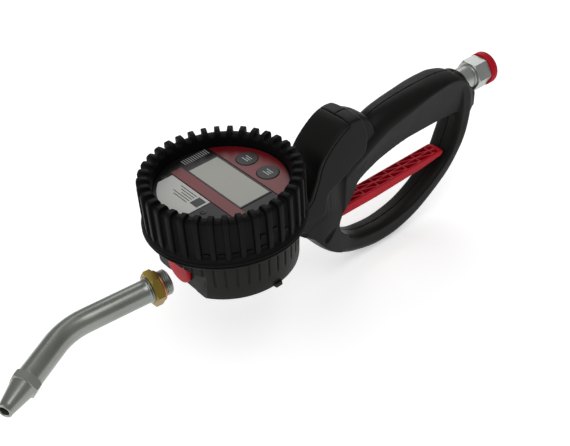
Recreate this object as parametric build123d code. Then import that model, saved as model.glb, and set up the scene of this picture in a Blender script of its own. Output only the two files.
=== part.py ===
from build123d import *
from math import cos, sin, pi, radians
import os

# Hand-held oil control gun with an oval-gear meter, its spout taken off and laid in front.
# Origin: centre of the inlet's end face.  +X points out of the inlet, +Z is the way the
# display faces, and the gun's mid-plane is y = 0.  Millimetres.

# ---- driving dimensions -------------------------------------------------------------
# inlet swivel, from its end face forward
INLET_BORE_R = 9.5          # core of the inlet's pipe thread
INLET_BORE_DEPTH = 15.0
SPIGOT_R = 12.0             # round end that the cap slips over
SPIGOT_LENGTH = 6.0
HEX_FLATS = 25.0
HEX_LENGTH = 15.5
NECK_R = 10.6
NECK_LENGTH = 26.5
SHANK_R = 9.0
SHANK_LENGTH = 21.0
# handle
REAR_OVERLAP = 1.5          # the neck starts inside the handle's rearmost point
HANDLE_LENGTH = 212.0
GUARD_DROP = 119.0          # lowest point of the guard under the inlet axis
GRIP_TOP = 21.4             # highest point of the grip over the inlet axis
HUMP_TOP = 31.5
HUMP_HALF_WIDTH = 17.5
GRIP_HALF_WIDTH = 16.5
GUARD_HALF_WIDTH = 10.5
SHELL_WALL = 2.8
COVER_THICKNESS = 3.0
# valve
TUBE_R = 9.5
REAR_TUBE_R = 11.0          # swells round the swivel's shank
PORT_BORE_R = 5.5
BORE_R = 6.5
CHEST_R = 11.0              # valve chest, upright, in the hump
CHEST_TOP = 12.0            # top of the chest over the inlet axis
CHEST_BOTTOM = -41.0
STEM_R = 3.0
VALVE_CAP_R = 9.4
VALVE_CAP_HEIGHT = 3.0
# meter
BODY_TOP_R = 56.0
BODY_BOTTOM_R = 54.0
BODY_HEIGHT = 36.5
METER_DROP = 46.0           # meter's underside under the inlet axis
BEZEL_R = 63.2
BEZEL_INNER_R = 51.0
BEZEL_HEIGHT = 42.5
RIB_COUNT = 36
RIB_HALF_WIDTH = 2.1
RIB_START = 5.5             # degrees, first rib from +X
FACE_DEPTH = 12.5           # rim to face
CHAMBER_FLOOR = 7.0
CHAMBER_DEPTH = 20.0
GEAR_RADIUS = 15.0          # semi-latus size of the oval rotors
GEAR_OVAL = 0.2
GEAR_TEETH = 24
GEAR_SHAFT_R = 3.0
PORT_HEIGHT = 15.0          # inlet port over the meter's underside
OUTLET_HEIGHT = 14.5
OUTLET_BORE_R = 9.0
OUTLET_FACET = 9.5          # how far the flat is cut into the round body
# display
WINDOW_LENGTH = 63.0
WINDOW_WIDTH = 27.0
WINDOW_X = 6.0
BUTTON_R = 8.6
BUTTON_X = 33.5
BUTTON_SPACING = 25.0
BUTTON_TRAVEL = 0.8
# trigger
TRIGGER_LENGTH = 144.0
TRIGGER_HALF_WIDTH = 8.0
TRIGGER_DEPTH = 10.0
PIVOT_R = 2.5
# spout
SPOUT_R = 9.0
SPOUT_BORE_R = 7.0
SPOUT_STRAIGHT = 82.0       # thread end to the bend's corner
SPOUT_OUTER = 49.0          # bend's corner to the tip's collar
SPOUT_BEND = 34.0           # degrees
SPOUT_BEND_R = 50.0
SPOUT_THREAD_R = 9.9
SPOUT_THREAD_LENGTH = 18.0
SPOUT_GAP = 17.3            # meter's outlet face to the spout's thread end
SPOUT_OFFSET = -7.5         # the spout lies a little to the near side
SPOUT_YAW = 4.8             # degrees
NUT_FLATS = 24.4
NUT_LENGTH = 7.0
TIP_FLATS = 19.0
TIP_LENGTH = 29.0
# clearances
RUNNING = 0.05
GAP = 0.3

# ---- places that follow from them -----------------------------------------------------
HEX_X = -SPIGOT_LENGTH
NECK_X = HEX_X - HEX_LENGTH
SHANK_X = NECK_X - NECK_LENGTH
SHANK_END_X = SHANK_X - SHANK_LENGTH
REAR_X = NECK_X - REAR_OVERLAP
FRONT_X = REAR_X - HANDLE_LENGTH
METER_X = FRONT_X - BODY_TOP_R
BASE_Z = -METER_DROP
BODY_TOP_Z = BASE_Z + BODY_HEIGHT
RIM_Z = BODY_TOP_Z + BEZEL_HEIGHT
FACE_Z = RIM_Z - FACE_DEPTH
CHEST_X = FRONT_X + 47.0
PIVOT_X = FRONT_X + 34.0
PIVOT_Z = BASE_Z - 20.0
TRIGGER_TOP_Z = BASE_Z - 10.0
SHAFT_SPACING = 2 * GEAR_RADIUS / (1 - GEAR_OVAL**2)
LOBE_R = GEAR_RADIUS / (1 - GEAR_OVAL)
SPOUT_Z = BASE_Z + OUTLET_HEIGHT
OUTLET_FACE_X = METER_X - BODY_BOTTOM_R + OUTLET_FACET


# ---- helpers --------------------------------------------------------------------------
def handle(fraction, height):
    """A point of the handle's side view: 0 is its rear end and 1 its front."""
    return (REAR_X - fraction * HANDLE_LENGTH, height)


def side_plate(points, half_width):
    """A closed smooth side-view outline, as thick as both half widths."""
    outline = Plane.XZ * make_face(Spline(*points, periodic=True))
    return extrude(outline, half_width, both=True)


def rod_x(r, x_low, x_high, y=0.0, z=0.0):
    """A round bar along X."""
    return Pos(x_low, y, z) * Rot(0, 90, 0) * Cylinder(r, x_high - x_low, align=LOW)


def rod_y(r, y_low, y_high, x, z):
    """A round bar along Y."""
    return Pos(x, y_low, z) * Rot(-90, 0, 0) * Cylinder(r, y_high - y_low, align=LOW)


def rod_z(r, z_low, z_high, x=0.0, y=0.0):
    """A round bar along Z."""
    return Pos(x, y, z_low) * Cylinder(r, z_high - z_low, align=LOW)


def block(x_low, x_high, y_low, y_high, z_low, z_high):
    """A box between two corners."""
    size = (x_high - x_low, y_high - y_low, z_high - z_low)
    return Pos(x_low, y_low, z_low) * Box(*size, align=(Align.MIN,) * 3)


def hexagon_x(flats, x_low, x_high, y=0.0, z=0.0):
    """A hexagonal bar along X with a flat on top."""
    face = RegularPolygon(flats / 2, 6, major_radius=False, rotation=30)
    return Pos(x_low, y, z) * Rot(0, 90, 0) * extrude(face, x_high - x_low)


def ring(r_out, r_in, z_low, z_high, x=0.0, y=0.0):
    """A flat ring about a Z axis."""
    return rod_z(r_out, z_low, z_high, x, y) - rod_z(r_in, z_low - 1, z_high + 1, x, y)


def meter_ring(r_out, r_in, z_low, z_high):
    """A flat ring about the meter's axis."""
    return ring(r_out, r_in, z_low, z_high, METER_X)


def around(count, radius, start=0.0):
    """Places on a circle about the meter's axis."""
    turns = [start + 2 * pi * k / count for k in range(count)]
    return [(METER_X + radius * cos(t), radius * sin(t)) for t in turns]


def coil(radius, wire_r, pitch, height):
    """A compression spring standing on z = 0, with its wire inside the height."""
    path = Helix(pitch=pitch, height=height - 2 * wire_r, radius=radius)
    section = Plane(origin=path @ 0, z_dir=path % 0) * Circle(wire_r)
    return Pos(0, 0, wire_r) * sweep(section, path=path)


def save(solid, node, colour):
    solid.label = node
    solid.color = Color(*colour)
    export_step(solid, f"parts/{node}.step")


LOW = (Align.CENTER, Align.CENTER, Align.MIN)
BLACK = (0.05, 0.05, 0.05)
GREY = (0.3, 0.3, 0.3)
RED = (0.75, 0.05, 0.08)
STEEL = (0.7, 0.72, 0.72)
BRASS = (0.75, 0.6, 0.2)


# ---- handle ---------------------------------------------------------------------------
# (height, front fraction, rear fraction, half width) of the hump's level sections
HUMP = [
    (-104, 0.765, 0.72, 8.0), (-97, 0.802, 0.702, 11.0), (-84, 0.864, 0.708, 14.5),
    (-67, 0.927, 0.722, 16.5), (-52, 0.985, 0.722, HUMP_HALF_WIDTH),
    (-42, 1.005, 0.71, HUMP_HALF_WIDTH), (-31, 0.985, 0.69, HUMP_HALF_WIDTH),
    (-20, 0.943, 0.657, HUMP_HALF_WIDTH), (-9, 0.915, 0.623, HUMP_HALF_WIDTH),
    (2, 0.896, 0.603, HUMP_HALF_WIDTH), (12, 0.868, 0.595, HUMP_HALF_WIDTH),
    (20, 0.832, 0.603, HUMP_HALF_WIDTH - 0.4), (25.5, 0.799, 0.634, 16.0),
    (29, 0.769, 0.665, 14.0), (HUMP_TOP, 0.737, 0.696, 10.0),
]

# (fraction, centre height, half height, half width) of the grip's oval sections
GRIP = [
    (0.76, -12.0, 18.0, 15.0), (0.65, -12.5, 22.8, 16.5), (0.557, -5.5, 21.2, GRIP_HALF_WIDTH),
    (0.46, -1.2, 21.4, GRIP_HALF_WIDTH), (0.37, GRIP_TOP - 21.4, 21.4, GRIP_HALF_WIDTH),
    (0.27, GRIP_TOP - 21.6, 21.4, 16.0), (0.18, -1.0, 21.3, 15.0), (0.10, -4.5, 22.0, 14.0),
    (0.045, -9.0, 20.5, 13.0), (0.012, -14.0, 16.0, 11.0),
]

# (fraction, height, slope of the centre line, half thickness, half width) of the guard
GUARD = [
    (0.055, -20.0, -85, 9.8, 14.0), (0.066, -45.0, -101, 9.7, 12.5),
    (0.121, -66.0, -124, 9.7, 11.0), (0.213, -85.0, -141, 9.9, GUARD_HALF_WIDTH),
    (0.33, -99.6, -157, 10.3, GUARD_HALF_WIDTH), (0.47, 10.7 - GUARD_DROP, -174, 10.6, 11.0),
    (0.60, 11.7 - GUARD_DROP, -189, 10.9, 11.8), (0.70, -98.0, -203, 11.6, 13.0),
    (0.793, -80.5, -216, 13.0, 14.5), (0.865, -62.5, -226, 12.0, 14.5),
]


def oval(x, z, slope, half_height, half_width):
    """An oval section square to a centre line of that slope in the side view."""
    along = (cos(radians(slope)), 0, sin(radians(slope)))
    return Plane(origin=(x, 0, z), x_dir=(0, 1, 0), z_dir=along) * Ellipse(half_width, half_height)


def grip(inset=0.0):
    """The grip, as a loft of upright ovals."""
    sections = [oval(*handle(f, h), 180, a - inset, b - inset) for f, h, a, b in GRIP]
    return loft(sections)


def guard(inset=0.0):
    """The bow that closes the D, from the rear end round to the foot of the hump."""
    sections = [oval(*handle(f, h), s, a - inset, b - inset) for f, h, s, a, b in GUARD]
    return loft(sections)


def level_section(height, front, rear, half_width):
    """A rounded rectangle at one height, between two fractions of the handle's length."""
    x_front = REAR_X - front * HANDLE_LENGTH
    x_rear = REAR_X - rear * HANDLE_LENGTH
    corner = 0.42 * min(2 * half_width, x_rear - x_front)
    plane = Plane(origin=((x_front + x_rear) / 2, 0, height))
    return plane * RectangleRounded(x_rear - x_front, 2 * half_width, min(corner, 7.5))


def hump():
    """The broad shield behind the meter, running down to the foot of the guard."""
    return loft([level_section(*row) for row in HUMP])


def finger_opening():
    """The hand's space between grip and guard."""
    points = [
        handle(0.775, -62), handle(0.774, -72), handle(0.745, -81), handle(0.67, -93),
        handle(0.60, -97.5), handle(0.505, -98.5), handle(0.382, -93.5), handle(0.272, -82),
        handle(0.172, -64), handle(0.127, -47.5), handle(0.105, -36), handle(0.103, -26),
        handle(0.135, -22.3), handle(0.285, -20.6), handle(0.387, -20.8), handle(0.472, -23),
        handle(0.547, -26), handle(0.623, -31.5), handle(0.68, -39), handle(0.73, -50),
    ]
    return side_plate(points, 2 * HUMP_HALF_WIDTH)


def meter_clearance():
    """The room that the meter takes out of the handle's front."""
    lower = rod_z(BODY_TOP_R + 1.0, BASE_Z - 40, BODY_TOP_Z - 0.5, METER_X)
    upper = rod_z(BEZEL_R + 1.0, BODY_TOP_Z - 1.0, RIM_Z + 40, METER_X)
    return lower + upper


def front_cover_zone():
    """A slab of the hump's front, up to the cross seam at the top."""
    fronts = [handle(front, height) for height, front, rear, width in HUMP]
    rears = [handle(rear, height) for height, front, rear, width in reversed(HUMP)]
    outline = Plane.XZ * make_face(Polyline(*fronts, *rears, close=True))
    shift = Pos(COVER_THICKNESS + 0.8, 0, -COVER_THICKNESS)
    inner = shift * extrude(outline, 3 * HUMP_HALF_WIDTH, both=True)
    seam_x = handle(0.735, 0)[0]
    zone = block(FRONT_X - 30, seam_x, -40, 40, BASE_Z + 15, HUMP_TOP + 10)
    return zone - inner


def trigger_well():
    """The slot in the hump's foot that the trigger's front end works in."""
    half = TRIGGER_HALF_WIDTH + 0.8
    return block(PIVOT_X - 10.5, FRONT_X + 62, -half, half, PIVOT_Z - 9.5, TRIGGER_TOP_Z + 8.5)


def valve_room():
    """The hollow in both shells that holds the valve, its tube and the swivel."""
    room = grip(SHELL_WALL)
    room += rod_z(CHEST_R + GAP, CHEST_BOTTOM - GAP, CHEST_TOP + GAP, CHEST_X)
    room += rod_z(VALVE_CAP_R + GAP, CHEST_TOP, CHEST_TOP + VALVE_CAP_HEIGHT + 1.0, CHEST_X)
    room += rod_x(TUBE_R + GAP, METER_X, CHEST_X, 0, BASE_Z + PORT_HEIGHT)
    room += rod_x(TUBE_R + GAP, CHEST_X, SHANK_X)
    room += rod_x(REAR_TUBE_R + GAP, SHANK_END_X - 7, SHANK_X + GAP)
    room += rod_z(STEM_R + 2.5, TRIGGER_TOP_Z - 1, CHEST_BOTTOM, CHEST_X)
    keep = block(METER_X, SHANK_X + GAP, -60, 60, -200, 60)
    return room & keep


SCREW_PLACES = [handle(0.33, -99), handle(0.66, -104), handle(0.075, -50), handle(0.675, 20),
                handle(0.60, -27)]


def handle_screw(x, z):
    """A thread-forming screw across both shells, its head sunk in the left one."""
    return rod_y(1.9, -8.0, 6.4, x, z) + rod_y(3.4, 6.4, 8.4, x, z)


def screw_hole(x, z):
    return rod_y(1.9, -8.0, 6.4, x, z) + rod_y(3.6, 6.4, 30, x, z)


def pivot_dimple():
    """The long shallow pocket round the trigger pin's near end."""
    pocket = SlotOverall(17, 7.5, rotation=-35)
    face = Plane(origin=(PIVOT_X, -HUMP_HALF_WIDTH - 1, PIVOT_Z - 2), z_dir=(0, 1, 0)) * pocket
    return extrude(face, 3.2)


def handle_solid():
    whole = hump() + grip() + guard()
    whole -= finger_opening()
    whole -= meter_clearance()
    whole -= valve_room()
    whole -= rod_x(NECK_R + 0.4, SHANK_X - 1, 10)
    whole -= trigger_well()
    whole -= front_cover_zone()
    whole -= pivot_dimple()
    whole -= rod_y(PIVOT_R, -14, 14, PIVOT_X, PIVOT_Z)
    for x, z in SCREW_PLACES:
        whole -= screw_hole(x, z)
    return whole


def biggest(shape):
    """The largest solid of a cut, without its crumbs."""
    return shape.solids().sort_by(SortBy.VOLUME)[-1]


def build_handle():
    whole = handle_solid()
    left = whole & block(METER_X, 50, 0, 60, -200, 100)
    right = whole & block(METER_X, 50, -60, 0, -200, 100)
    save(biggest(left), "grip_shell_left", BLACK)
    save(biggest(right), "grip_shell_right", BLACK)
    cover = (hump() & front_cover_zone()) - meter_clearance() - valve_room()
    save(biggest(cover), "front_cover", GREY)
    screws = Compound(children=[handle_screw(x, z) for x, z in SCREW_PLACES])
    save(screws, "handle_screws", STEEL)


# ---- trigger --------------------------------------------------------------------------
def trigger_outline():
    """Side view of the lever: boss, straight run, and an end that curls up."""
    x0 = PIVOT_X
    top = TRIGGER_TOP_Z
    low = top - TRIGGER_DEPTH
    end = x0 + TRIGGER_LENGTH
    line = Polyline((x0, PIVOT_Z + 6.5), (x0 + 14, top), (end - 4, top + 0.6), (end, top - 2.5),
                    (end - 3, top - 6), (end - 30, low + 1.2), (x0 + 60, low - 0.6),
                    (x0 + 16, low + 0.2), (x0, PIVOT_Z - 6.5), close=True)
    lever = Plane.XZ * make_face(line)
    return extrude(lever, TRIGGER_HALF_WIDTH, both=True)


def truss(x_low, x_high, z_low, z_high):
    """Ribs in the lever's open top: one along it, others across, and slanting braces."""
    pitch = 12.6
    rib = 1.4
    half = TRIGGER_HALF_WIDTH - 1.0
    ribs = block(x_low, x_high, -rib / 2, rib / 2, z_low, z_high)
    count = int((x_high - x_low) / pitch)
    brace = (half**2 + pitch**2) ** 0.5
    for k in range(count + 1):
        x = x_low + k * pitch
        ribs += block(x - rib / 2, x + rib / 2, -half, half, z_low, z_high)
        if k == count:
            break
        for side in (-1, 1):
            turn = side * (-1) ** k * 180 / pi * (half / pitch) * 0.86
            middle = Pos(x + pitch / 2, side * half / 2, (z_low + z_high) / 2)
            ribs += middle * Rot(0, 0, turn) * Box(brace, rib, z_high - z_low)
    return ribs


def build_trigger():
    lever = trigger_outline()
    lever += rod_y(6.5, -TRIGGER_HALF_WIDTH, TRIGGER_HALF_WIDTH, PIVOT_X, PIVOT_Z)
    x_low = CHEST_X + 6
    x_high = PIVOT_X + TRIGGER_LENGTH - 7
    wall = 1.5
    inner = TRIGGER_HALF_WIDTH - wall
    pocket = block(x_low, x_high, -inner, inner, TRIGGER_TOP_Z - 6.0, TRIGGER_TOP_Z + 5)
    lever -= pocket
    lever += truss(x_low, x_high, TRIGGER_TOP_Z - 6.0, TRIGGER_TOP_Z - 0.3) & pocket
    lever -= rod_y(PIVOT_R + RUNNING, -20, 20, PIVOT_X, PIVOT_Z)
    save(biggest(lever), "trigger", RED)
    save(rod_y(PIVOT_R, -14, 14, PIVOT_X, PIVOT_Z), "trigger_pivot_pin", STEEL)


# ---- valve ----------------------------------------------------------------------------
SEAT_Z = CHEST_BOTTOM + 23.0
GLAND_Z = CHEST_BOTTOM + 4.5
UPPER_R = 8.0
LOWER_R = 7.0
SEAT_HOLE_R = 5.5
CAP_Z = CHEST_TOP - 5.0


def build_valve():
    port_z = BASE_Z + PORT_HEIGHT
    body = rod_z(CHEST_R, CHEST_BOTTOM, CHEST_TOP, CHEST_X)
    body += rod_x(TUBE_R, CHEST_X, SHANK_END_X - 4)
    body += rod_x(REAR_TUBE_R, SHANK_END_X - 6, SHANK_X)
    body += rod_x(TUBE_R, METER_X + 38, CHEST_X, 0, port_z)
    body -= rod_z(UPPER_R, SEAT_Z, CHEST_TOP + 1, CHEST_X)
    body -= rod_z(LOWER_R, GLAND_Z, SEAT_Z - 4, CHEST_X)
    body -= rod_z(SEAT_HOLE_R + 1.5, SEAT_Z - 5, SEAT_Z + 1, CHEST_X)
    body -= rod_z(STEM_R + RUNNING, CHEST_BOTTOM - 1, GLAND_Z + 1, CHEST_X)
    body -= rod_z(STEM_R + 2.2, GLAND_Z - 3, GLAND_Z + 1, CHEST_X)
    body -= rod_x(BORE_R, CHEST_X, SHANK_X + 5)
    body -= rod_x(SHANK_R + RUNNING, SHANK_END_X - 0.5, SHANK_X + 5)
    body -= rod_x(SHANK_R + 0.9, SHANK_END_X + 2.5, SHANK_END_X + 3.9)
    body -= rod_x(PORT_BORE_R, METER_X + 30, CHEST_X, 0, port_z)
    save(biggest(body), "valve_body", STEEL)
    seat = ring(SEAT_HOLE_R + 1.5, SEAT_HOLE_R - 1.0, SEAT_Z - 4, SEAT_Z, CHEST_X)
    save(seat, "valve_seat", BRASS)
    gland = ring(STEM_R + 2.2, STEM_R + RUNNING, GLAND_Z - 3, GLAND_Z, CHEST_X)
    save(gland, "stem_seal", BLACK)
    stem = rod_z(STEM_R, TRIGGER_TOP_Z + 0.3, SEAT_Z + 2, CHEST_X)
    stem += rod_z(7.0, SEAT_Z + 2, SEAT_Z + 5, CHEST_X)
    stem += rod_z(STEM_R, SEAT_Z + 5, SEAT_Z + 10, CHEST_X)
    save(stem, "valve_stem", STEEL)
    save(ring(6.8, STEM_R, SEAT_Z, SEAT_Z + 2, CHEST_X), "poppet_seal", BLACK)
    spring_room = CAP_Z - SEAT_Z - 5
    spring = Pos(CHEST_X, 0, SEAT_Z + 5) * coil(5.6, 0.6, 4.0, spring_room)
    save(spring, "valve_spring", STEEL)
    cap_top = CHEST_TOP + VALVE_CAP_HEIGHT
    cap = rod_z(UPPER_R, CAP_Z, CHEST_TOP, CHEST_X) + rod_z(VALVE_CAP_R, CHEST_TOP, cap_top, CHEST_X)
    cap -= Pos(CHEST_X, 0, CHEST_TOP - 2) * extrude(RegularPolygon(4, 6), 10)
    save(cap, "valve_cap", BRASS)
    strainer = rod_x(BORE_R - 0.4, SHANK_END_X - 30, SHANK_END_X - 0.1)
    strainer += rod_x(SHANK_R, SHANK_END_X - 0.5, SHANK_END_X - 0.1)
    strainer -= rod_x(BORE_R - 1.0, SHANK_END_X - 29, SHANK_END_X)
    save(strainer, "inlet_strainer", STEEL)


def build_swivel():
    piece = rod_x(SPIGOT_R, HEX_X, 0)
    piece += hexagon_x(HEX_FLATS, NECK_X, HEX_X)
    piece += rod_x(NECK_R, SHANK_X + GAP, NECK_X)
    piece += rod_x(SHANK_R, SHANK_END_X, SHANK_X + GAP)
    piece -= rod_x(BORE_R, SHANK_END_X - 1, 1)
    piece -= rod_x(INLET_BORE_R, -INLET_BORE_DEPTH, 1)
    piece -= rod_x(SHANK_R + 1, SHANK_END_X + 2.5, SHANK_END_X + 3.9) - rod_x(SHANK_R - 0.9, -200, 0)
    for x in (SHANK_END_X + 8, SHANK_END_X + 14):
        piece -= rod_x(SHANK_R + 1, x, x + 2.4) - rod_x(SHANK_R - 1.3, -200, 0)
    save(piece, "inlet_swivel", STEEL)
    rings = [rod_x(SHANK_R - 0.1, x + 0.2, x + 2.2) - rod_x(SHANK_R - 1.3, -200, 0)
             for x in (SHANK_END_X + 8, SHANK_END_X + 14)]
    save(Compound(children=rings), "swivel_seals", BLACK)
    clip_x = SHANK_END_X + 2.6
    clip = rod_x(SHANK_R + 0.8, clip_x, clip_x + 1.2) - rod_x(SHANK_R - 0.6, -200, 0)
    save(clip, "swivel_circlip", STEEL)
    cap = rod_x(SPIGOT_R + 2.6, HEX_X + GAP, 2.0) - rod_x(SPIGOT_R + RUNNING, HEX_X - 1, GAP)
    cap = fillet(cap.edges().filter_by(GeomType.CIRCLE).group_by(Axis.X)[-1], 1.2)
    save(cap, "inlet_cap", RED)


# ---- meter ----------------------------------------------------------------------------
COVER_R = 44.5
COVER_Z = BASE_Z + CHAMBER_FLOOR + CHAMBER_DEPTH
SHAFT_FOOT_Z = BASE_Z + CHAMBER_FLOOR - 3.5
COVER_DEPTH = 5.0
COVER_SCREW_R = 41.0
CASE_R = BEZEL_INNER_R - 0.2
CASE_WALL = 1.6
CASE_FLOOR = 2.5
PANEL_DEPTH = 2.5
CASE_SCREW_R = BEZEL_INNER_R - 4.4


def chamber(clearance=GAP):
    """The figure-of-eight room that the two rotors sweep."""
    room = rod_z(LOBE_R + clearance, BASE_Z + CHAMBER_FLOOR, COVER_Z, METER_X, SHAFT_SPACING / 2)
    room += rod_z(LOBE_R + clearance, BASE_Z + CHAMBER_FLOOR, COVER_Z, METER_X, -SHAFT_SPACING / 2)
    return room


def build_meter_body():
    cone = Cone(BODY_BOTTOM_R, BODY_TOP_R, BODY_HEIGHT, align=LOW)
    body = Pos(METER_X, 0, BASE_Z) * cone
    body = fillet(body.edges().group_by(Axis.Z)[0], 2.0)
    body -= chamber()
    body -= rod_z(COVER_R + GAP, COVER_Z, BODY_TOP_Z + 1, METER_X)
    body -= block(METER_X - 80, OUTLET_FACE_X, -60, 60, BASE_Z - 1, BODY_TOP_Z - 6)
    body -= rod_x(OUTLET_BORE_R, OUTLET_FACE_X - 1, METER_X - 20, 0, SPOUT_Z)
    body -= rod_x(5.5, METER_X - 22, METER_X - 6, 0, SPOUT_Z)
    body -= rod_x(TUBE_R, METER_X + 38, METER_X + 70, 0, BASE_Z + PORT_HEIGHT)
    body -= rod_x(5.5, METER_X + 6, METER_X + 40, 0, BASE_Z + PORT_HEIGHT - 3)
    for y in (-SHAFT_SPACING / 2, SHAFT_SPACING / 2):
        body -= rod_z(GEAR_SHAFT_R, SHAFT_FOOT_Z, BASE_Z + CHAMBER_FLOOR + 1, METER_X, y)
    for x, y in around(6, COVER_SCREW_R, pi / 6):
        body -= rod_z(1.9, COVER_Z - 9, COVER_Z + 1, x, y)
    for x, y in around(4, CASE_SCREW_R, pi / 4):
        body -= rod_z(1.4, BODY_TOP_Z - 9, BODY_TOP_Z + 1, x, y)
    save(biggest(body), "meter_body", GREY)


def build_chamber_cover():
    top = COVER_Z + COVER_DEPTH
    cover = rod_z(COVER_R, COVER_Z, top, METER_X)
    cover -= meter_ring(38.6, 35.8, COVER_Z - 1, COVER_Z + 2.0)
    for y in (-SHAFT_SPACING / 2, SHAFT_SPACING / 2):
        cover -= rod_z(GEAR_SHAFT_R, COVER_Z - 1, COVER_Z + 3, METER_X, y)
    for x, y in around(6, COVER_SCREW_R, pi / 6):
        cover -= rod_z(1.9, COVER_Z - 1, top + 1, x, y)
    save(cover, "chamber_cover", STEEL)
    seal = meter_ring(38.4, 36.0, COVER_Z, COVER_Z + 1.9)
    save(seal, "chamber_seal", BLACK)
    screws = [rod_z(1.9, COVER_Z - 8, top, x, y) + rod_z(3.3, top, top + 2.6, x, y)
              for x, y in around(6, COVER_SCREW_R, pi / 6)]
    save(Compound(children=screws), "cover_screws", STEEL)


def rotor(turn):
    """An oval rotor: its radius swings twice a turn, with small teeth on the rim."""
    points = []
    steps = GEAR_TEETH * 8
    for k in range(steps):
        t = 2 * pi * k / steps
        pitch_r = GEAR_RADIUS / (1 - GEAR_OVAL * cos(2 * t))
        r = pitch_r - 0.95 + 0.7 * cos(GEAR_TEETH * t)
        points.append((r * cos(t + turn), r * sin(t + turn)))
    outline = make_face(Polyline(*points, close=True))
    bore = rod_z(GEAR_SHAFT_R + RUNNING, -1, CHAMBER_DEPTH)
    return extrude(outline, CHAMBER_DEPTH - 2 * GAP) - bore


def build_rotors():
    z = BASE_Z + CHAMBER_FLOOR + GAP
    half = SHAFT_SPACING / 2
    front = Pos(METER_X, half, z) * rotor(0)
    top = COVER_Z - GAP
    holes = [rod_z(2.0, top - 3, top + 1, METER_X + s * 11, half) for s in (-1, 1)]
    for hole in holes:
        front -= hole
    save(front, "oval_gear_a", GREY)
    magnets = [rod_z(2.0, top - 3, top - 0.2, METER_X + s * 11, half) for s in (-1, 1)]
    save(Compound(children=magnets), "gear_magnets", STEEL)
    save(Pos(METER_X, -half, z) * rotor(pi / 2), "oval_gear_b", GREY)
    pins = [rod_z(GEAR_SHAFT_R, SHAFT_FOOT_Z, COVER_Z + 3, METER_X, y) for y in (half, -half)]
    save(Compound(children=pins), "gear_shafts", STEEL)


def build_display():
    case = meter_ring(CASE_R, CASE_R - CASE_WALL, BODY_TOP_Z, FACE_Z - PANEL_DEPTH)
    case += rod_z(CASE_R - 0.5, BODY_TOP_Z, BODY_TOP_Z + CASE_FLOOR, METER_X)
    for x, y in around(4, CASE_SCREW_R, pi / 4):
        case -= rod_z(1.4, BODY_TOP_Z - 1, BODY_TOP_Z + 5, x, y)
    case -= rod_z(4.0, BODY_TOP_Z - 1, BODY_TOP_Z + 5, METER_X, SHAFT_SPACING / 2)
    posts = around(4, CASE_R - 8, 0)
    board_z = FACE_Z - 13
    for x, y in posts:
        case += rod_z(2.6, BODY_TOP_Z, board_z, x, y)
    save(biggest(case), "display_case", BLACK)
    screws = [rod_z(1.4, BODY_TOP_Z - 8, BODY_TOP_Z + CASE_FLOOR, x, y)
              + rod_z(2.3, BODY_TOP_Z + CASE_FLOOR, BODY_TOP_Z + CASE_FLOOR + 2, x, y)
              for x, y in around(4, CASE_SCREW_R, pi / 4)]
    save(Compound(children=screws), "case_screws", STEEL)
    save(rod_z(CASE_R - 3, board_z, board_z + 1.6, METER_X), "circuit_board", (0.1, 0.4, 0.15))
    half_l = WINDOW_LENGTH / 2
    half_w = WINDOW_WIDTH / 2
    x_mid = METER_X + WINDOW_X
    lcd = block(x_mid - half_w - 2, x_mid + half_w + 1.5, -half_l - 2, half_l + 2,
                board_z + 1.6, FACE_Z - PANEL_DEPTH)
    save(lcd, "lcd_module", GREY)
    cells = [rod_y(6.0, -22, 22, METER_X + s * 14, board_z - 6.3) for s in (-1, 1)]
    save(Compound(children=cells), "batteries", STEEL)
    tray = block(METER_X - 22, METER_X + 22, -25, 25, BODY_TOP_Z + CASE_FLOOR, board_z - 7)
    for s in (-1, 1):
        tray -= rod_y(6.1, -22.1, 22.1, METER_X + s * 14, board_z - 6.3)
    save(biggest(tray), "battery_tray", BLACK)
    build_face(x_mid, half_l, half_w)


def face_disc(z_low, z_high, r):
    return rod_z(r, z_low, z_high, METER_X)


def build_face(x_mid, half_l, half_w):
    low = FACE_Z - PANEL_DEPTH
    skin = 0.5
    button_x = METER_X + BUTTON_X
    window = block(x_mid - half_w, x_mid + half_w, -half_l, half_l, low - 1, FACE_Z + 5)
    panel = face_disc(low, FACE_Z - skin, CASE_R) - window
    for side in (-1, 1):
        panel -= rod_z(BUTTON_R + GAP, low - 1, FACE_Z + 5, button_x, side * BUTTON_SPACING / 2)
    save(panel, "face_panel", BLACK)
    lens = block(x_mid - half_w, x_mid + half_w, -half_l, half_l, low, FACE_Z - 0.3)
    save(lens, "window_lens", (0.6, 0.62, 0.55))
    skin_r = CASE_R - 1.2
    rear = face_disc(FACE_Z - skin, FACE_Z, skin_r) & block(x_mid + half_w + 2, METER_X + 90, -60, 60,
                                                            low, FACE_Z + 1)
    for side in (-1, 1):
        rear -= rod_z(BUTTON_R + GAP, low, FACE_Z + 5, button_x, side * BUTTON_SPACING / 2)
    stripe = face_disc(FACE_Z - skin, FACE_Z, skin_r) & block(METER_X - 18.5, x_mid - half_w - 1.5,
                                                              -39, 39, low, FACE_Z + 1)
    save(Compound(children=[*rear.solids(), *stripe.solids()]), "red_overlay", RED)
    label = face_disc(FACE_Z - skin, FACE_Z - 0.1, skin_r - 1.5)
    label = label & block(METER_X - 60, METER_X - 19.5, -11.5, 35.5, low, FACE_Z + 1)
    save(biggest(label), "name_plate", (0.85, 0.85, 0.85))
    for side, name in ((-1, "button_near"), (1, "button_far")):
        button = rod_z(BUTTON_R, FACE_Z - 3.0, FACE_Z + 0.6, button_x, side * BUTTON_SPACING / 2)
        button = fillet(button.edges().group_by(Axis.Z)[-1], 0.6)
        save(button, name, GREY)


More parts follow.
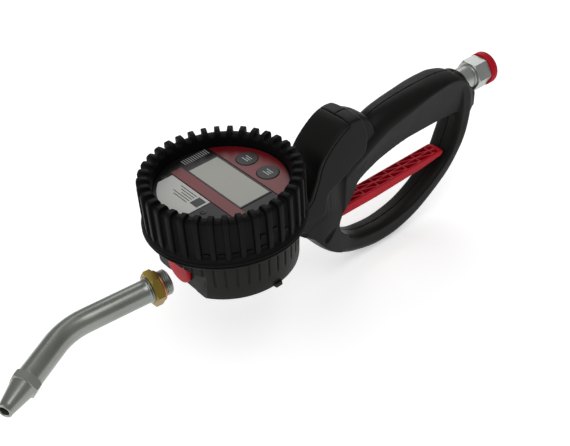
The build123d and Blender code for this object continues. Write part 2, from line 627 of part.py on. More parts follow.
def bezel_rib(turn):
    """One radial rib over the rim and down the skirt, tapering towards the flange."""
    points = [(BEZEL_INNER_R + 1.0, RIM_Z - 2.6), (BEZEL_INNER_R + 2.5, RIM_Z),
              (BEZEL_R - 3.0, RIM_Z), (BEZEL_R - 1.2, RIM_Z - 1.6), (BEZEL_R - 1.6, BODY_TOP_Z + 8),
              (BEZEL_R - 4.5, BODY_TOP_Z + 6), (BEZEL_INNER_R + 2.0, RIM_Z - 6)]
    outline = Plane.XZ * make_face(Polyline(*points, close=True))
    rib = extrude(outline, RIB_HALF_WIDTH, both=True)
    return Pos(METER_X, 0, 0) * Rot(0, 0, turn) * rib


def build_bezel():
    z0 = BODY_TOP_Z
    skirt_r = BEZEL_R - 4.0
    profile = Polyline((BEZEL_INNER_R, z0), (BEZEL_R - 1.5, z0), (BEZEL_R, z0 + 1.5), (BEZEL_R, z0 + 4),
                       (BEZEL_R - 1.5, z0 + 5.5), (skirt_r + 1.2, z0 + 6.5), (skirt_r, RIM_Z - 5),
                       (skirt_r - 2.0, RIM_Z - 3.2), (BEZEL_INNER_R + 1, RIM_Z - 3.2),
                       (BEZEL_INNER_R, RIM_Z - 4.2), close=True)
    ring_solid = revolve(Plane.XZ * make_face(profile), Axis.Z)
    bezel = Pos(METER_X, 0, 0) * ring_solid
    ribs = [bezel_rib(RIB_START + k * 360 / RIB_COUNT) for k in range(RIB_COUNT)]
    bezel = bezel.fuse(*ribs)
    save(biggest(bezel), "rubber_bezel", BLACK)


PLUG_DEPTH = 5.5
PLUG_FLANGE_R = 13.5


def build_outlet_plug():
    flange_x = OUTLET_FACE_X - GAP
    plug = rod_x(PLUG_FLANGE_R, flange_x - 3.0, flange_x, 0, SPOUT_Z)
    plug = fillet(plug.edges().filter_by(GeomType.CIRCLE).group_by(Axis.X)[0], 1.4)
    plug += rod_x(OUTLET_BORE_R - RUNNING, flange_x, flange_x + PLUG_DEPTH, 0, SPOUT_Z)
    plug -= rod_x(OUTLET_BORE_R - 2, flange_x - 1.5, flange_x + PLUG_DEPTH + 1, 0, SPOUT_Z)
    save(plug, "outlet_plug", RED)


# ---- spout ----------------------------------------------------------------------------
SPOUT_PLACE = Pos(OUTLET_FACE_X - SPOUT_GAP, SPOUT_OFFSET, SPOUT_Z) * Rot(0, 0, 180 - SPOUT_YAW)
THREAD_END = 6.8            # free end of the thread, up to the washer's groove
GROOVE_END = 8.9
NUT_X = 9.0
WASHER_DEPTH = 1.5
WASHER_R = 11.9


def spout_path():
    """Straight from the thread, one bend to the near side, straight to the tip."""
    turn = radians(SPOUT_BEND)
    corner = (SPOUT_STRAIGHT, 0)
    end = (SPOUT_STRAIGHT + SPOUT_OUTER * cos(turn), SPOUT_OUTER * sin(turn))
    return FilletPolyline((SPOUT_THREAD_LENGTH, 0), corner, end, radius=SPOUT_BEND_R), end


def tip_place(end):
    return Pos(end[0], end[1], 0) * Rot(0, 0, SPOUT_BEND)


def build_spout():
    path, end = spout_path()
    start = Plane(origin=path @ 0, z_dir=path % 0)
    tube = sweep(start * Circle(SPOUT_R), path=path)
    tube += rod_x(SPOUT_THREAD_R, 0, SPOUT_THREAD_LENGTH)
    tube -= rod_x(SPOUT_THREAD_R + 1, THREAD_END, GROOVE_END) - rod_x(SPOUT_THREAD_R - 0.4, 0, 60)
    tube -= sweep(start * Circle(SPOUT_BORE_R), path=path)
    tube -= rod_x(SPOUT_BORE_R, -1, SPOUT_THREAD_LENGTH + 1)
    tip_at = tip_place(end)
    stub = rod_x(SPOUT_BORE_R + 1.2, -1, 7) - rod_x(SPOUT_BORE_R, -2, 8)
    tube += tip_at * stub
    save(SPOUT_PLACE * tube, "spout_tube", STEEL)
    nut = hexagon_x(NUT_FLATS, NUT_X, NUT_X + NUT_LENGTH)
    nut -= rod_x(SPOUT_THREAD_R + RUNNING, 0, 60)
    chamfer = Rot(0, 90, 0) * Cone(NUT_FLATS / 2, NUT_FLATS / 2 + 14, 14, align=LOW)
    nut = nut & (Pos(NUT_X - 1, 0, 0) * chamfer)
    nut = nut & (Pos(NUT_X + NUT_LENGTH + 1, 0, 0) * Rot(0, 180, 0) * chamfer)
    save(SPOUT_PLACE * nut, "lock_nut", BRASS)
    washer = rod_x(WASHER_R, NUT_X - WASHER_DEPTH - GAP, NUT_X - GAP)
    washer -= rod_x(SPOUT_THREAD_R + RUNNING, 0, 60)
    save(SPOUT_PLACE * washer, "copper_washer", (0.7, 0.35, 0.2))
    build_tip(SPOUT_PLACE * tip_at)


def build_tip(place):
    hex_length = 7.0
    tip = hexagon_x(TIP_FLATS, 0, hex_length)
    tip += Pos(hex_length, 0, 0) * Rot(0, 90, 0) * Cone(TIP_FLATS / 2, 5.6, TIP_LENGTH - hex_length - 3, align=LOW)
    tip += rod_x(5.6, TIP_LENGTH - 3, TIP_LENGTH)
    tip -= rod_x(SPOUT_BORE_R + 1.2, -1, 7.0)
    tip -= rod_x(6.2, 6, 13)
    tip -= Pos(13, 0, 0) * Rot(0, 90, 0) * Cone(6.2, 3.6, 8, align=LOW)
    tip -= rod_x(3.6, 20, 40)
    save(place * tip, "nozzle_tip", STEEL)
    poppet = Pos(14.6, 0, 0) * Rot(0, 90, 0) * Cone(5.3, 3.2, 6, align=LOW)
    poppet += rod_x(1.5, 8, 15)
    save(place * poppet, "drip_poppet", BRASS)
    guide = rod_x(6.2, 7.2, 8.6) - rod_x(1.5 + RUNNING, 7, 9)
    for k in range(3):
        t = 2 * pi * k / 3
        guide -= rod_x(1.3, 7, 9, 3.8 * cos(t), 3.8 * sin(t))
    save(place * guide, "poppet_guide", STEEL)
    spring = place * Pos(10.35, 0, 0) * Rot(0, 90, 0) * coil(2.6, 0.35, 1.4, 4.2)
    save(spring, "drip_spring", STEEL)


os.makedirs("parts", exist_ok=True)
build_handle()
build_trigger()
build_valve()
build_swivel()
build_meter_body()
build_chamber_cover()
build_rotors()
build_display()
build_bezel()
build_outlet_plug()
build_spout()
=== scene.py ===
import math

import bmesh
import bpy
import numpy as np
from mathutils import Matrix, Vector


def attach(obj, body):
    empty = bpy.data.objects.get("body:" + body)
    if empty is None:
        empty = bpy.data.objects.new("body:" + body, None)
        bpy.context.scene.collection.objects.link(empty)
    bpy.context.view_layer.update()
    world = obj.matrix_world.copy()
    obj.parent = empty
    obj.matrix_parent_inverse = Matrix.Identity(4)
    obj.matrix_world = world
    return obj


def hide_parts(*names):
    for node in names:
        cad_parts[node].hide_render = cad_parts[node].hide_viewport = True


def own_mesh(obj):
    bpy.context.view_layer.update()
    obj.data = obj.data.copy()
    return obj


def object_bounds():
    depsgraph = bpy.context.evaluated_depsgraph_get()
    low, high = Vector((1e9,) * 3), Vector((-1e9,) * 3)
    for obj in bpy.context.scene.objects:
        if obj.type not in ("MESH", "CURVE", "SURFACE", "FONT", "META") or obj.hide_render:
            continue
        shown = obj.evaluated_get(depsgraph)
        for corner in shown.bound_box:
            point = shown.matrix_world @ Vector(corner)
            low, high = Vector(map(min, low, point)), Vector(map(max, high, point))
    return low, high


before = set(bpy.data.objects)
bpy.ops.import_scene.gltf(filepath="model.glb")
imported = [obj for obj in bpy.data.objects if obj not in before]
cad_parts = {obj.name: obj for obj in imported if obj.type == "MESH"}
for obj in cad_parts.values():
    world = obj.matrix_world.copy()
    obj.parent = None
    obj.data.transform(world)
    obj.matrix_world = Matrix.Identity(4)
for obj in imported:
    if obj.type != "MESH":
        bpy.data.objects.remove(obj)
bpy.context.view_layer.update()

MM = 0.001


# --- Grip shells and hump cover ---------------------------------------------------------
# Two glass-filled nylon half shells, screwed together from the left, close round the valve
# and end in a D-shaped guard. A separate cover clips over the front of the hump, and a thin
# web inside the parting line keeps the light from showing between the shells.

def smooth_loop(points, samples=14):
    """A closed Catmull-Rom line through the points."""
    p = np.array(points, float)
    before, after, beyond = np.roll(p, 1, 0), np.roll(p, -1, 0), np.roll(p, -2, 0)
    t = np.linspace(0, 1, samples, endpoint=False)[None, :, None]
    a, b, c, d = before[:, None], p[:, None], after[:, None], beyond[:, None]
    line = 0.5 * (2 * b + (c - a) * t + (2 * a - 5 * b + 4 * c - d) * t**2
                  + (3 * b - a - 3 * c + d) * t**3)
    return line.reshape(-1, 2)


def depth_inside(loop, x, z):
    """Distance to a closed line, positive inside it, on a grid of points."""
    best = np.full(x.shape, 1e9)
    inside = np.zeros(x.shape, bool)
    for (x0, z0), (x1, z1) in zip(loop, np.roll(loop, -1, 0)):
        dx, dz = x1 - x0, z1 - z0
        share = np.clip(((x - x0) * dx + (z - z0) * dz) / (dx * dx + dz * dz + 1e-12), 0, 1)
        best = np.minimum(best, np.hypot(x - x0 - share * dx, z - z0 - share * dz))
        if z0 != z1:
            crosses = (z0 > z) != (z1 > z)
            inside ^= crosses & (x < x0 + dx * (z - z0) / dz)
    return np.where(inside, best, -best)


def along(x, knots, blur=5.0):
    """A value given at a few places along X, joined by a soft line."""
    fine = np.arange(-270.0, 10.0, 0.5)
    line = np.interp(fine, [k[0] for k in knots], [k[1] for k in knots])
    half = int(blur / 0.5)
    weights = np.hanning(2 * half + 3)
    padded = np.pad(line, half + 1, mode="edge")
    return np.interp(x, fine, np.convolve(padded, weights / weights.sum(), "valid"))


def step_up(low, high, x):
    t = np.clip((x - low) / (high - low), 0, 1)
    return t * t * (3 - 2 * t)


def skin_of(field, origin, pitch):
    """Surface nets: the closed skin where a sampled field changes sign, as points and quads."""
    solid = field < 0
    cells = tuple(n - 1 for n in field.shape)
    corner = [(i, j, k) for i in (0, 1) for j in (0, 1) for k in (0, 1)]

    def shifted(a, o):
        return a[o[0]:o[0] + cells[0], o[1]:o[1] + cells[1], o[2]:o[2] + cells[2]]

    count = sum(shifted(solid, o).astype(np.int8) for o in corner)
    mixed = (count > 0) & (count < 8)
    where = np.argwhere(mixed)
    number = np.full(cells, -1, np.int64)
    number[mixed] = np.arange(len(where))
    total = np.zeros((len(where), 3))
    hits = np.zeros(len(where))
    for axis in range(3):
        others = [a for a in range(3) if a != axis]
        for u in (0, 1):
            for v in (0, 1):
                o = [0, 0, 0]
                o[others[0]], o[others[1]] = u, v
                start = where + o
                end = start.copy()
                end[:, axis] += 1
                f0, f1 = field[tuple(start.T)], field[tuple(end.T)]
                cut = (f0 < 0) != (f1 < 0)
                share = np.where(cut, f0 / np.where(cut, f0 - f1, 1), 0)
                place = np.tile(np.array(o, float), (len(where), 1))
                place[:, axis] = share
                total += place * cut[:, None]
                hits += cut
    points = (where + total / hits[:, None]) * pitch + np.array(origin)
    quads = []
    for axis in range(3):
        u, v = [a for a in range(3) if a != axis]
        low = [slice(None)] * 3
        high = [slice(None)] * 3
        low[axis], high[axis] = slice(0, -1), slice(1, None)
        first, second = solid[tuple(low)], solid[tuple(high)]
        edge = np.argwhere(first != second)
        edge = edge[(edge[:, u] > 0) & (edge[:, v] > 0)]
        edge = edge[(edge[:, u] < cells[u]) & (edge[:, v] < cells[v])]
        out = first[tuple(edge.T)]
        ring = []
        for du, dv in ((-1, -1), (0, -1), (0, 0), (-1, 0)):
            cell = edge.copy()
            cell[:, u] += du
            cell[:, v] += dv
            ring.append(number[tuple(cell.T)])
        ring = np.stack(ring, 1)
        flip = out if axis != 1 else ~out
        quads.append(np.where(flip[:, None], ring, ring[:, ::-1]))
    return points, np.concatenate(quads)


def piece(name, points, faces, material, body, smooth=True, sharp=None):
    """A mesh in metres made into an object that rides on a body."""
    mesh = bpy.data.meshes.new(name)
    mesh.from_pydata([tuple(p) for p in points], [], [tuple(int(i) for i in f) for f in faces])
    mesh.validate()
    mesh.polygons.foreach_set("use_smooth", [smooth] * len(mesh.polygons))
    made = bpy.data.objects.new(name, mesh)
    bpy.context.scene.collection.objects.link(made)
    made.data.materials.append(material)
    if sharp is not None:
        mesh.set_sharp_from_angle(angle=math.radians(sharp))
    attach(made, body)
    return made


def moulded(name, field, start, pitch, material, body, sharp=None):
    """The skin of a sampled shape, made into a piece."""
    closed = np.pad(field, 1, constant_values=5.0)
    points, quads = skin_of(closed, [edge - pitch for edge in start], pitch)
    return piece(name, points * MM, quads, material, body, sharp=sharp)


def wire(material, start, end):
    material.node_tree.links.new(start, end)


def textured(name, colour, roughness, spread=0.12, grain=0.35, bump=0.12, tint=0.25, metallic=0.0,
             stretch=(1, 1, 1), specular=0.30, coat=0.0):
    """A surface with fine grain in its height, and slow drifts in its colour and gloss."""
    material = bpy.data.materials.new(name)
    material.use_nodes = True
    nodes = material.node_tree.nodes
    shader = nodes["Principled BSDF"]
    shader.inputs["Metallic"].default_value = metallic
    shader.inputs["Specular IOR Level"].default_value = specular
    shader.inputs["Coat Weight"].default_value = coat
    place = nodes.new("ShaderNodeTexCoord")
    scale = nodes.new("ShaderNodeMapping")
    scale.inputs["Scale"].default_value = stretch
    wire(material, place.outputs["Object"], scale.inputs["Vector"])
    fine = nodes.new("ShaderNodeTexNoise")
    fine.inputs["Scale"].default_value = 1 / (grain * MM)
    fine.inputs["Detail"].default_value = 3
    wire(material, scale.outputs["Vector"], fine.inputs["Vector"])
    slow = nodes.new("ShaderNodeTexNoise")
    slow.inputs["Scale"].default_value = 1 / (28 * MM)
    slow.inputs["Detail"].default_value = 5
    wire(material, scale.outputs["Vector"], slow.inputs["Vector"])
    height = nodes.new("ShaderNodeBump")
    height.inputs["Strength"].default_value = bump
    height.inputs["Distance"].default_value = 0.2 * MM
    wire(material, fine.outputs["Fac"], height.inputs["Height"])
    wire(material, height.outputs["Normal"], shader.inputs["Normal"])
    gloss = nodes.new("ShaderNodeMapRange")
    gloss.inputs["To Min"].default_value = max(roughness - spread, 0.03)
    gloss.inputs["To Max"].default_value = min(roughness + spread, 1)
    wire(material, slow.outputs["Fac"], gloss.inputs["Value"])
    wire(material, gloss.outputs["Result"], shader.inputs["Roughness"])
    shade = nodes.new("ShaderNodeMix")
    shade.data_type = "RGBA"
    shade.inputs["A"].default_value = (*[c * (1 - tint) for c in colour], 1)
    shade.inputs["B"].default_value = (*[min(c * (1 + tint), 1) for c in colour], 1)
    wire(material, slow.outputs["Fac"], shade.inputs["Factor"])
    wire(material, shade.outputs["Result"], shader.inputs["Base Color"])
    return material


nylon = textured("nylon_black", (0.0060, 0.0061, 0.0056), 0.46, grain=0.45, bump=0.12, specular=0.11)

FRONT_LINE = [(-250, -38), (-236, -30), (-224, -22), (-220, -15), (-216, -6), (-213, 3), (-208.3, 11),
              (-201.6, 18), (-194, 24), (-186.6, 28.4), (-178.6, 31.0), (-170.6, 31.2)]
HUMP_REAR = [(-163.6, 28.8), (-156.8, 25), (-151, 20), (-147, 14), (-145, 6), (-146.5, -4), (-152, -14)]
OPENING = [(-187.5, -62), (-188, -71), (-181, -81), (-165, -92.6), (-150, -96.6), (-130, -98),
           (-104, -93.5), (-80.5, -82.3), (-59.3, -64.8), (-49.7, -47.6), (-45.5, -36), (-44.5, -27),
           (-51, -22.5), (-84, -21), (-105, -21.2), (-123, -23.4), (-139, -26.6), (-155, -31.6),
           (-167, -38.5), (-177, -48)]
OUTSIDE = [(-41, 13.6), (-30.4, 4), (-25.2, -6), (-24, -16), (-26.4, -36), (-33.6, -55.4), (-49.2, -79.8),
           (-69, -96.8), (-90.6, -109.8), (-114, -117.2), (-136, -118.6), (-154, -116), (-174, -109),
           (-192, -97), (-206, -84), (-219, -67), (-230, -55), (-242, -46)]
PAD_REAR = [(-164.4, 28.3), (-158.8, 14), (-158.5, 3), (-162, -6.5), (-174, -12.5), (-187, -20), (-201, -27)]
PAD_FOOT = [(-207, -44), (-226, -44), (-240, -42)]
HUMP_HALF = 17.5
GUARD_HALF = 10.5           # half the guard's width, where the handle is slimmest
PITCH = 0.75                # spacing of the samples that the shells are drawn from
SQUARENESS = 2.4            # 2 is a round rim, and more is squarer
STEEPNESS = 6

xs = np.arange(-240.0, -13.0, PITCH)
ys = np.arange(-20.0, 20.1, PITCH)
zs = np.arange(-122.0, 35.0, PITCH)
side_x, side_z = np.meshgrid(xs, zs, indexing="ij")


def rounded(loop, half_width, edge):
    """A plate of varying half width, its rim rounded over the given distance."""
    depth = depth_inside(loop, side_x, side_z)
    rim = np.clip(1 - depth / edge, 0, None)[:, None, :]
    width = np.broadcast_to(half_width, side_x.shape)[:, None, :]
    across = np.abs(ys)[None, :, None] / width
    return (np.sqrt(rim**SQUARENESS + across**SQUARENESS) - 1) * STEEPNESS


foot = 1 - step_up(-212, -160, side_x)
high = step_up(-116, -30, side_z)
body_width = GUARD_HALF + 7 * np.maximum(foot, high * 0.58)
body_width = body_width - 1.6 * step_up(-200, -176, side_x) * step_up(-60, -30, side_z)
HUMP_RIM, PAD_RIM = 4.5, 2.2
HUMP_FOOT = [(-168, -40), (-174, -60), (-177, -92), (-184, -98), (-193, -93), (-205, -81.5),
             (-217.5, -65), (-229, -54), (-242, -46)]
hump_loop = smooth_loop(FRONT_LINE + HUMP_REAR + HUMP_FOOT)
pad_loop = smooth_loop(FRONT_LINE + PAD_REAR + PAD_FOOT)
opening_depth = depth_inside(smooth_loop(OPENING), side_x, side_z)

hump = rounded(hump_loop, body_width, HUMP_RIM)
pad = rounded(pad_loop, HUMP_HALF, PAD_RIM)

guard_loop = smooth_loop([*OUTSIDE[:17], (-205, -48), (-185, -52), (-150, -62), (-110, -62),
                          (-80, -50), (-66, -20), (-60, 4)])
band_loop = smooth_loop([*OPENING[:10], (-45.5, -34), (-43.5, -18), (-45.5, -2), (-56, 9),
                         (-90, 4), (-130, -10), (-160, -28), (-180, -50)])
RIM = 4.5
guard = rounded(guard_loop, body_width, RIM + RIM * step_up(-214, -168, side_x))
inner_rim = np.clip(1 + depth_inside(band_loop, side_x, side_z) / RIM, 0, None)[:, None, :]
across = np.abs(ys)[None, :, None] / body_width[:, None, :]
guard_inner = (np.sqrt(inner_rim**SQUARENESS + across**SQUARENESS) - 1) * STEEPNESS
guard = np.maximum(guard, guard_inner)

TOP_LINE = [(-185, 2), (-160, 6), (-150, 11), (-140, 16), (-129, 18.4), (-118, 19.7), (-107, 20.6),
            (-91, 21.3), (-74, 21.3), (-60, 19.9), (-48, 16.6), (-37, 10), (-29, 3), (-23, -6)]
RIDGE_LINE = [(-190, -30), (-177, -20), (-159, -11), (-148, -5), (-134, 2), (-121, 5.4), (-107, 8.2),
              (-86, 13), (-62, 15), (-48, 12), (-36, 4), (-23, -14)]
RIDGE_HALF = [(-185, 15.4), (-150, 15.6), (-110, 16.3), (-84, 16.2), (-62, 15.4), (-48, 14.2),
              (-35, 12.6), (-23, 10.6)]
FLOOR_LINE = [(-190, -62), (-177, -49), (-167, -39), (-155, -32), (-139, -26.8), (-123, -23.6),
              (-105, -21.4), (-84, -21.2), (-50, -21.6), (-23, -24)]
FLOOR_HALF = [(-190, 14), (-165, 10.5), (-120, 9.4), (-60, 9.4), (-40, 10), (-23, 10)]
top = along(xs, TOP_LINE)[:, None, None]
ridge = along(xs, RIDGE_LINE)[:, None, None]
ridge_half = along(xs, RIDGE_HALF)[:, None, None]
floor_z = along(xs, FLOOR_LINE)[:, None, None]
floor_half = along(xs, FLOOR_HALF)[:, None, None]
z3 = zs[None, None, :]
y3 = np.abs(ys)[None, :, None]
dome = (np.sqrt(np.clip(z3 - ridge, 0, None)**2 / np.maximum(top - ridge, 2)**2
                + (y3 / ridge_half)**2) - 1) * 9
fall = np.clip((ridge - z3) / np.maximum(ridge - floor_z, 4), 0, 1.2)
flank = y3 - ridge_half + (ridge_half - floor_half) * fall
grip_core = np.where(z3 >= ridge, dome, flank)
GRIP_FROM, GRIP_TO = -182.0, -23.0
grip = np.maximum(grip_core, floor_z - z3)
grip = np.maximum(grip, (xs - GRIP_TO)[:, None, None])
grip = np.maximum(grip, (GRIP_FROM - xs)[:, None, None])


def melted(first, second, reach):
    """Two shapes joined with a soft fillet."""
    share = np.clip(0.5 + (second - first) / (2 * reach), 0, 1)
    return second * (1 - share) + first * share - reach * share * (1 - share)


FOOT_FILLET, GRIP_FILLET = 5.0, 4.0
foot_joint = np.maximum(melted(hump, guard, FOOT_FILLET),
                        np.abs(ys)[None, :, None] - body_width[:, None, :])
fillet = 0.05 + GRIP_FILLET * (1 - step_up(-26, -8, side_z))[:, None, :]
whole = np.minimum(melted(foot_joint, grip, fillet), pad)
whole = np.maximum(whole, opening_depth[:, None, :])


def tube_x(r, x0, x1, z):
    x, y, zz = xs[:, None, None], ys[None, :, None], zs[None, None, :]
    return np.maximum(np.hypot(y, zz - z) - r, np.maximum(x0 - x, x - x1))


def tube_y(r, y0, y1, x0, z):
    x, y, zz = xs[:, None, None], ys[None, :, None], zs[None, None, :]
    return np.maximum(np.hypot(x - x0, zz - z) - r, np.maximum(y0 - y, y - y1))


def tube_z(r, z0, z1, x0):
    x, y, zz = xs[:, None, None], ys[None, :, None], zs[None, None, :]
    return np.maximum(np.hypot(x - x0, y) - r, np.maximum(z0 - zz, zz - z1))


def slab(x0, x1, y0, y1, z0, z1):
    x, y, zz = xs[:, None, None], ys[None, :, None], zs[None, None, :]
    return np.maximum(np.maximum(np.maximum(x0 - x, x - x1), np.maximum(y0 - y, y - y1)),
                      np.maximum(z0 - zz, zz - z1))


METER_X = -291.0            # the meter's upright axis
VALVE_X = -188.0            # the valve stem's upright axis
PIVOT = (-201.0, -66.0)     # the lever's pin, along X and Z
meter_room = [tube_z(57.0, -90, -9.6, METER_X), tube_z(64.2, -10.5, 60, METER_X)]
valve_room = [tube_x(9.9, -260, VALVE_X, -31), tube_z(11.4, -41.4, 12.4, VALVE_X),
              tube_z(9.8, 11, 16, VALVE_X), tube_z(5.6, -58, -40, VALVE_X)]
inlet_room = [tube_x(9.9, VALVE_X, -48, 0), tube_x(11.4, -76, -47.6, 0), tube_x(11.1, -49, 0, 0)]
lever_room = [slab(-211.8, -173, -8.9, 8.9, -75.8, -47.2)]
hollows = meter_room + valve_room + inlet_room + lever_room
for hollow in hollows:
    whole = np.maximum(whole, -hollow)
DIMPLE_Y, DIMPLE_R, DIMPLE_FLATNESS = -19.2, 4.4, 1.2
dimple_ends = np.array([(-205.5, -70.5), (-196.5, -65.8)])
run = dimple_ends[1] - dimple_ends[0]
share = np.clip(((xs[:, None, None] - dimple_ends[0][0]) * run[0]
                 + (zs[None, None, :] - dimple_ends[0][1]) * run[1]) / (run @ run), 0, 1)
dimple = np.sqrt((xs[:, None, None] - dimple_ends[0][0] - share * run[0])**2
                 + (zs[None, None, :] - dimple_ends[0][1] - share * run[1])**2
                 + (ys[None, :, None] - DIMPLE_Y)**2 * DIMPLE_FLATNESS) - DIMPLE_R
whole = np.maximum(whole, -dimple)

SEAM = 0.16                 # half the gap where two mouldings meet
CROSS_SEAM_X = -179.0
COVER_FOOT_Z = -31.0
COVER_LINE = [(x + 4.0, z - 3.2) for x, z in FRONT_LINE] + [(-100, 60), (-100, -120), (-250, -120)]
below_cover = -depth_inside(smooth_loop(COVER_LINE), side_x, side_z)
cover_zone = np.maximum(-below_cover, np.maximum(side_x - CROSS_SEAM_X, COVER_FOOT_Z - side_z))
cover_field = np.maximum(whole, cover_zone[:, None, :] + SEAM)
shell_field = np.maximum(whole, -cover_zone[:, None, :] + SEAM)
left_field = np.maximum(shell_field, SEAM - ys[None, :, None])
right_field = np.maximum(shell_field, SEAM + ys[None, :, None])

for name, field, node in (("shell_left", left_field, "grip_shell_left"),
                          ("shell_right", right_field, "grip_shell_right"),
                          ("hump_cover", cover_field, "front_cover")):
    made = moulded(name, field, (xs[0], ys[0], zs[0]), PITCH, nylon, "gun")
    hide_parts(node)
TONGUE_SETBACK, TONGUE_HALF = 1.2, 0.3
tongue_field = np.maximum(whole + TONGUE_SETBACK, np.abs(ys)[None, :, None] - TONGUE_HALF)
tongue = moulded("shell_tongue", tongue_field, (xs[0], ys[0], zs[0]), PITCH, nylon, "gun")


# --- Trigger ----------------------------------------------------------------------------
# The lever is one crimson moulding, hollow on top, with a centre rib, cross ribs and slanting
# braces that stiffen it. It turns on a steel pin through the foot of the handle.

crimson = textured("crimson_plastic", (0.43, 0.006, 0.017), 0.42, spread=0.08, grain=0.6, bump=0.06,
                   tint=0.18, specular=0.10)
FINE_PITCH = 0.5
xs = np.arange(-209.5, -55.4, FINE_PITCH)
ys = np.arange(-9.0, 9.1, FINE_PITCH)
zs = np.arange(-75.0, -53.4, FINE_PITCH)
side_x, side_z = np.meshgrid(xs, zs, indexing="ij")
LEVER = [(-201, -59.5), (-194, -57.6), (-187, -56), (-61, -55.5), (-57.6, -57), (-57.2, -59),
         (-60, -62), (-87, -64.8), (-141, -66.6), (-185, -66), (-192, -69.4), (-201, -72.5)]
LEVER_HALF, LEVER_RIM, BOSS_R, PIN_BORE_R = 8.0, 1.3, 6.5, 2.55
lever_field = rounded(np.array(LEVER), LEVER_HALF, LEVER_RIM)
lever_field = np.minimum(lever_field, tube_y(BOSS_R, -LEVER_HALF, LEVER_HALF, *PIVOT))
RIB_END_X, RIB_PITCH, RIB_HALF, RIB_COUNT = -68.0, 17.0, 0.8, 8
WELL_HALF, WELL_FLOOR, RIB_TOP = 6.4, -62.6, -56.3
plan_x, plan_y = xs[:, None], ys[None, :]
ribs = np.abs(plan_y) + 0 * plan_x - RIB_HALF
for k in range(RIB_COUNT):
    rib_x = RIB_END_X - k * RIB_PITCH
    ribs = np.minimum(ribs, np.abs(plan_x - rib_x) + 0 * plan_y - RIB_HALF)
    for start_y in (WELL_HALF, 0):
        slope = -WELL_HALF / RIB_PITCH
        off = (plan_y - start_y - slope * (plan_x - rib_x)) / math.hypot(1, slope)
        beyond = np.maximum(rib_x - plan_x, plan_x - rib_x - RIB_PITCH)
        ribs = np.minimum(ribs, np.maximum(np.abs(off) - RIB_HALF, beyond))
well = slab(-182, -62.5, -WELL_HALF, WELL_HALF, WELL_FLOOR, -50)
rib_field = np.maximum(ribs[:, :, None], zs[None, None, :] - RIB_TOP)
lever_field = np.maximum(lever_field, -np.maximum(well, -rib_field))
lever_field = np.maximum(lever_field, -tube_y(PIN_BORE_R, -10, 10, *PIVOT))
lever = moulded("lever", lever_field, (xs[0], ys[0], zs[0]), FINE_PITCH, crimson, "trigger", sharp=60)
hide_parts("trigger")


# --- Rubber bezel -----------------------------------------------------------------------
# A thick black rubber boot stretched over the display, with thirty-six grip ribs that run
# over its rim and down its skirt to a double-beaded flange. It is moulded in one piece.

BEZEL_RIBS = 36
FIRST_RIB = 5.5
RIM_Z = 33.0
VALLEY = [(51.0, -9.5), (61.6, -9.5), (62.7, -8.9), (63.2, -7.9), (63.1, -7.2), (62.4, -6.9), (62.4, -6.5),
          (63.1, -6.1), (63.2, -5.3), (62.9, -4.6), (62.2, -4.3), (62.2, -3.9), (62.7, -3.5), (62.5, -2.8),
          (61.3, -2.0), (60.1, -1.2), (59.5, 0.4), (59.2, 3), (59.2, 12), (59.2, 22), (59.1, 27),
          (58.8, 28.4), (58.0, 29.3), (57.0, 29.7), (55.8, 29.8), (54.2, 29.8), (52.8, 29.5),
          (51.8, 29.0), (51.3, 28.2), (51.05, 27.0), (51.0, 25.0), (51.0, 20.0), (51.0, 0.0)]
CREST = VALLEY[:14] + [(61.7, -2.2), (61.5, -1.5), (61.6, 0.2), (61.9, 3), (62.0, 12), (62.0, 22),
                       (62.0, 29.0), (61.9, 30.7), (61.3, 32.0), (60.2, 32.8), (58.6, RIM_Z),
                       (55.5, RIM_Z), (54.0, 32.8), (52.6, 31.9), (51.8, 30.4), (51.4, 28.6),
                       (51.05, 26.0), (51.0, 20.0), (51.0, 0.0)]
RIB_STEPS = [(-0.5, 0), (-0.38, 0), (-0.285, 0), (-0.252, 0.05), (-0.232, 0.30), (-0.215, 0.80),
             (-0.196, 0.96), (-0.17, 1), (-0.06, 1), (0.06, 1), (0.17, 1), (0.196, 0.96),
             (0.215, 0.80), (0.232, 0.30), (0.252, 0.05), (0.285, 0), (0.38, 0)]


def lofted(name, grid, material, body, loop=True, sharp=38.0):
    """A closed skin over rows of points that each run once round an axis."""
    rows, columns = grid.shape[:2]
    faces = []
    for i in range(rows if loop else rows - 1):
        here, there = i * columns, (i + 1) % rows * columns
        for j in range(columns):
            k = (j + 1) % columns
            faces.append((here + j, here + k, there + k, there + j))
    if not loop:
        faces.append(tuple(range(columns)))
        faces.append(tuple(range((rows - 1) * columns, rows * columns)))
    made = piece(name, grid.reshape(-1, 3) * MM, faces, material, body)
    work = bmesh.new()
    work.from_mesh(made.data)
    bmesh.ops.recalc_face_normals(work, faces=work.faces)
    work.to_mesh(made.data)
    work.free()
    made.data.set_sharp_from_angle(angle=math.radians(sharp))
    return made


rubber = textured("bezel_rubber", (0.0028, 0.0028, 0.0028), 0.55, grain=0.3, bump=0.16, specular=0.09)
turns, heights = [], []
for rib in range(BEZEL_RIBS):
    for offset, height in RIB_STEPS:
        turns.append((rib, offset))
        heights.append(height)
rib_number = np.array([t[0] for t in turns])
rib_offset = np.array([t[1] for t in turns])
rise = np.array(heights)[None, :, None]
valley, crest = np.array(VALLEY)[:, None, :], np.array(CREST)[:, None, :]
section = valley + (crest - valley) * rise
taper = np.interp(np.arange(len(VALLEY)), [13, 17, 24, 32], [0.74, 0.80, 1.0, 1.0])[:, None]
everywhere = np.broadcast_to(rib_offset, (len(VALLEY), len(turns)))
narrowed = np.where(np.abs(rib_offset) < 0.3, rib_offset * taper, everywhere)
angle = np.radians(FIRST_RIB + (rib_number + narrowed) * 360 / BEZEL_RIBS)
bezel_grid = np.stack([METER_X + section[..., 0] * np.cos(angle), section[..., 0] * np.sin(angle),
                       section[..., 1]], -1)
bezel = lofted("bezel", bezel_grid, rubber, "gun", sharp=50)
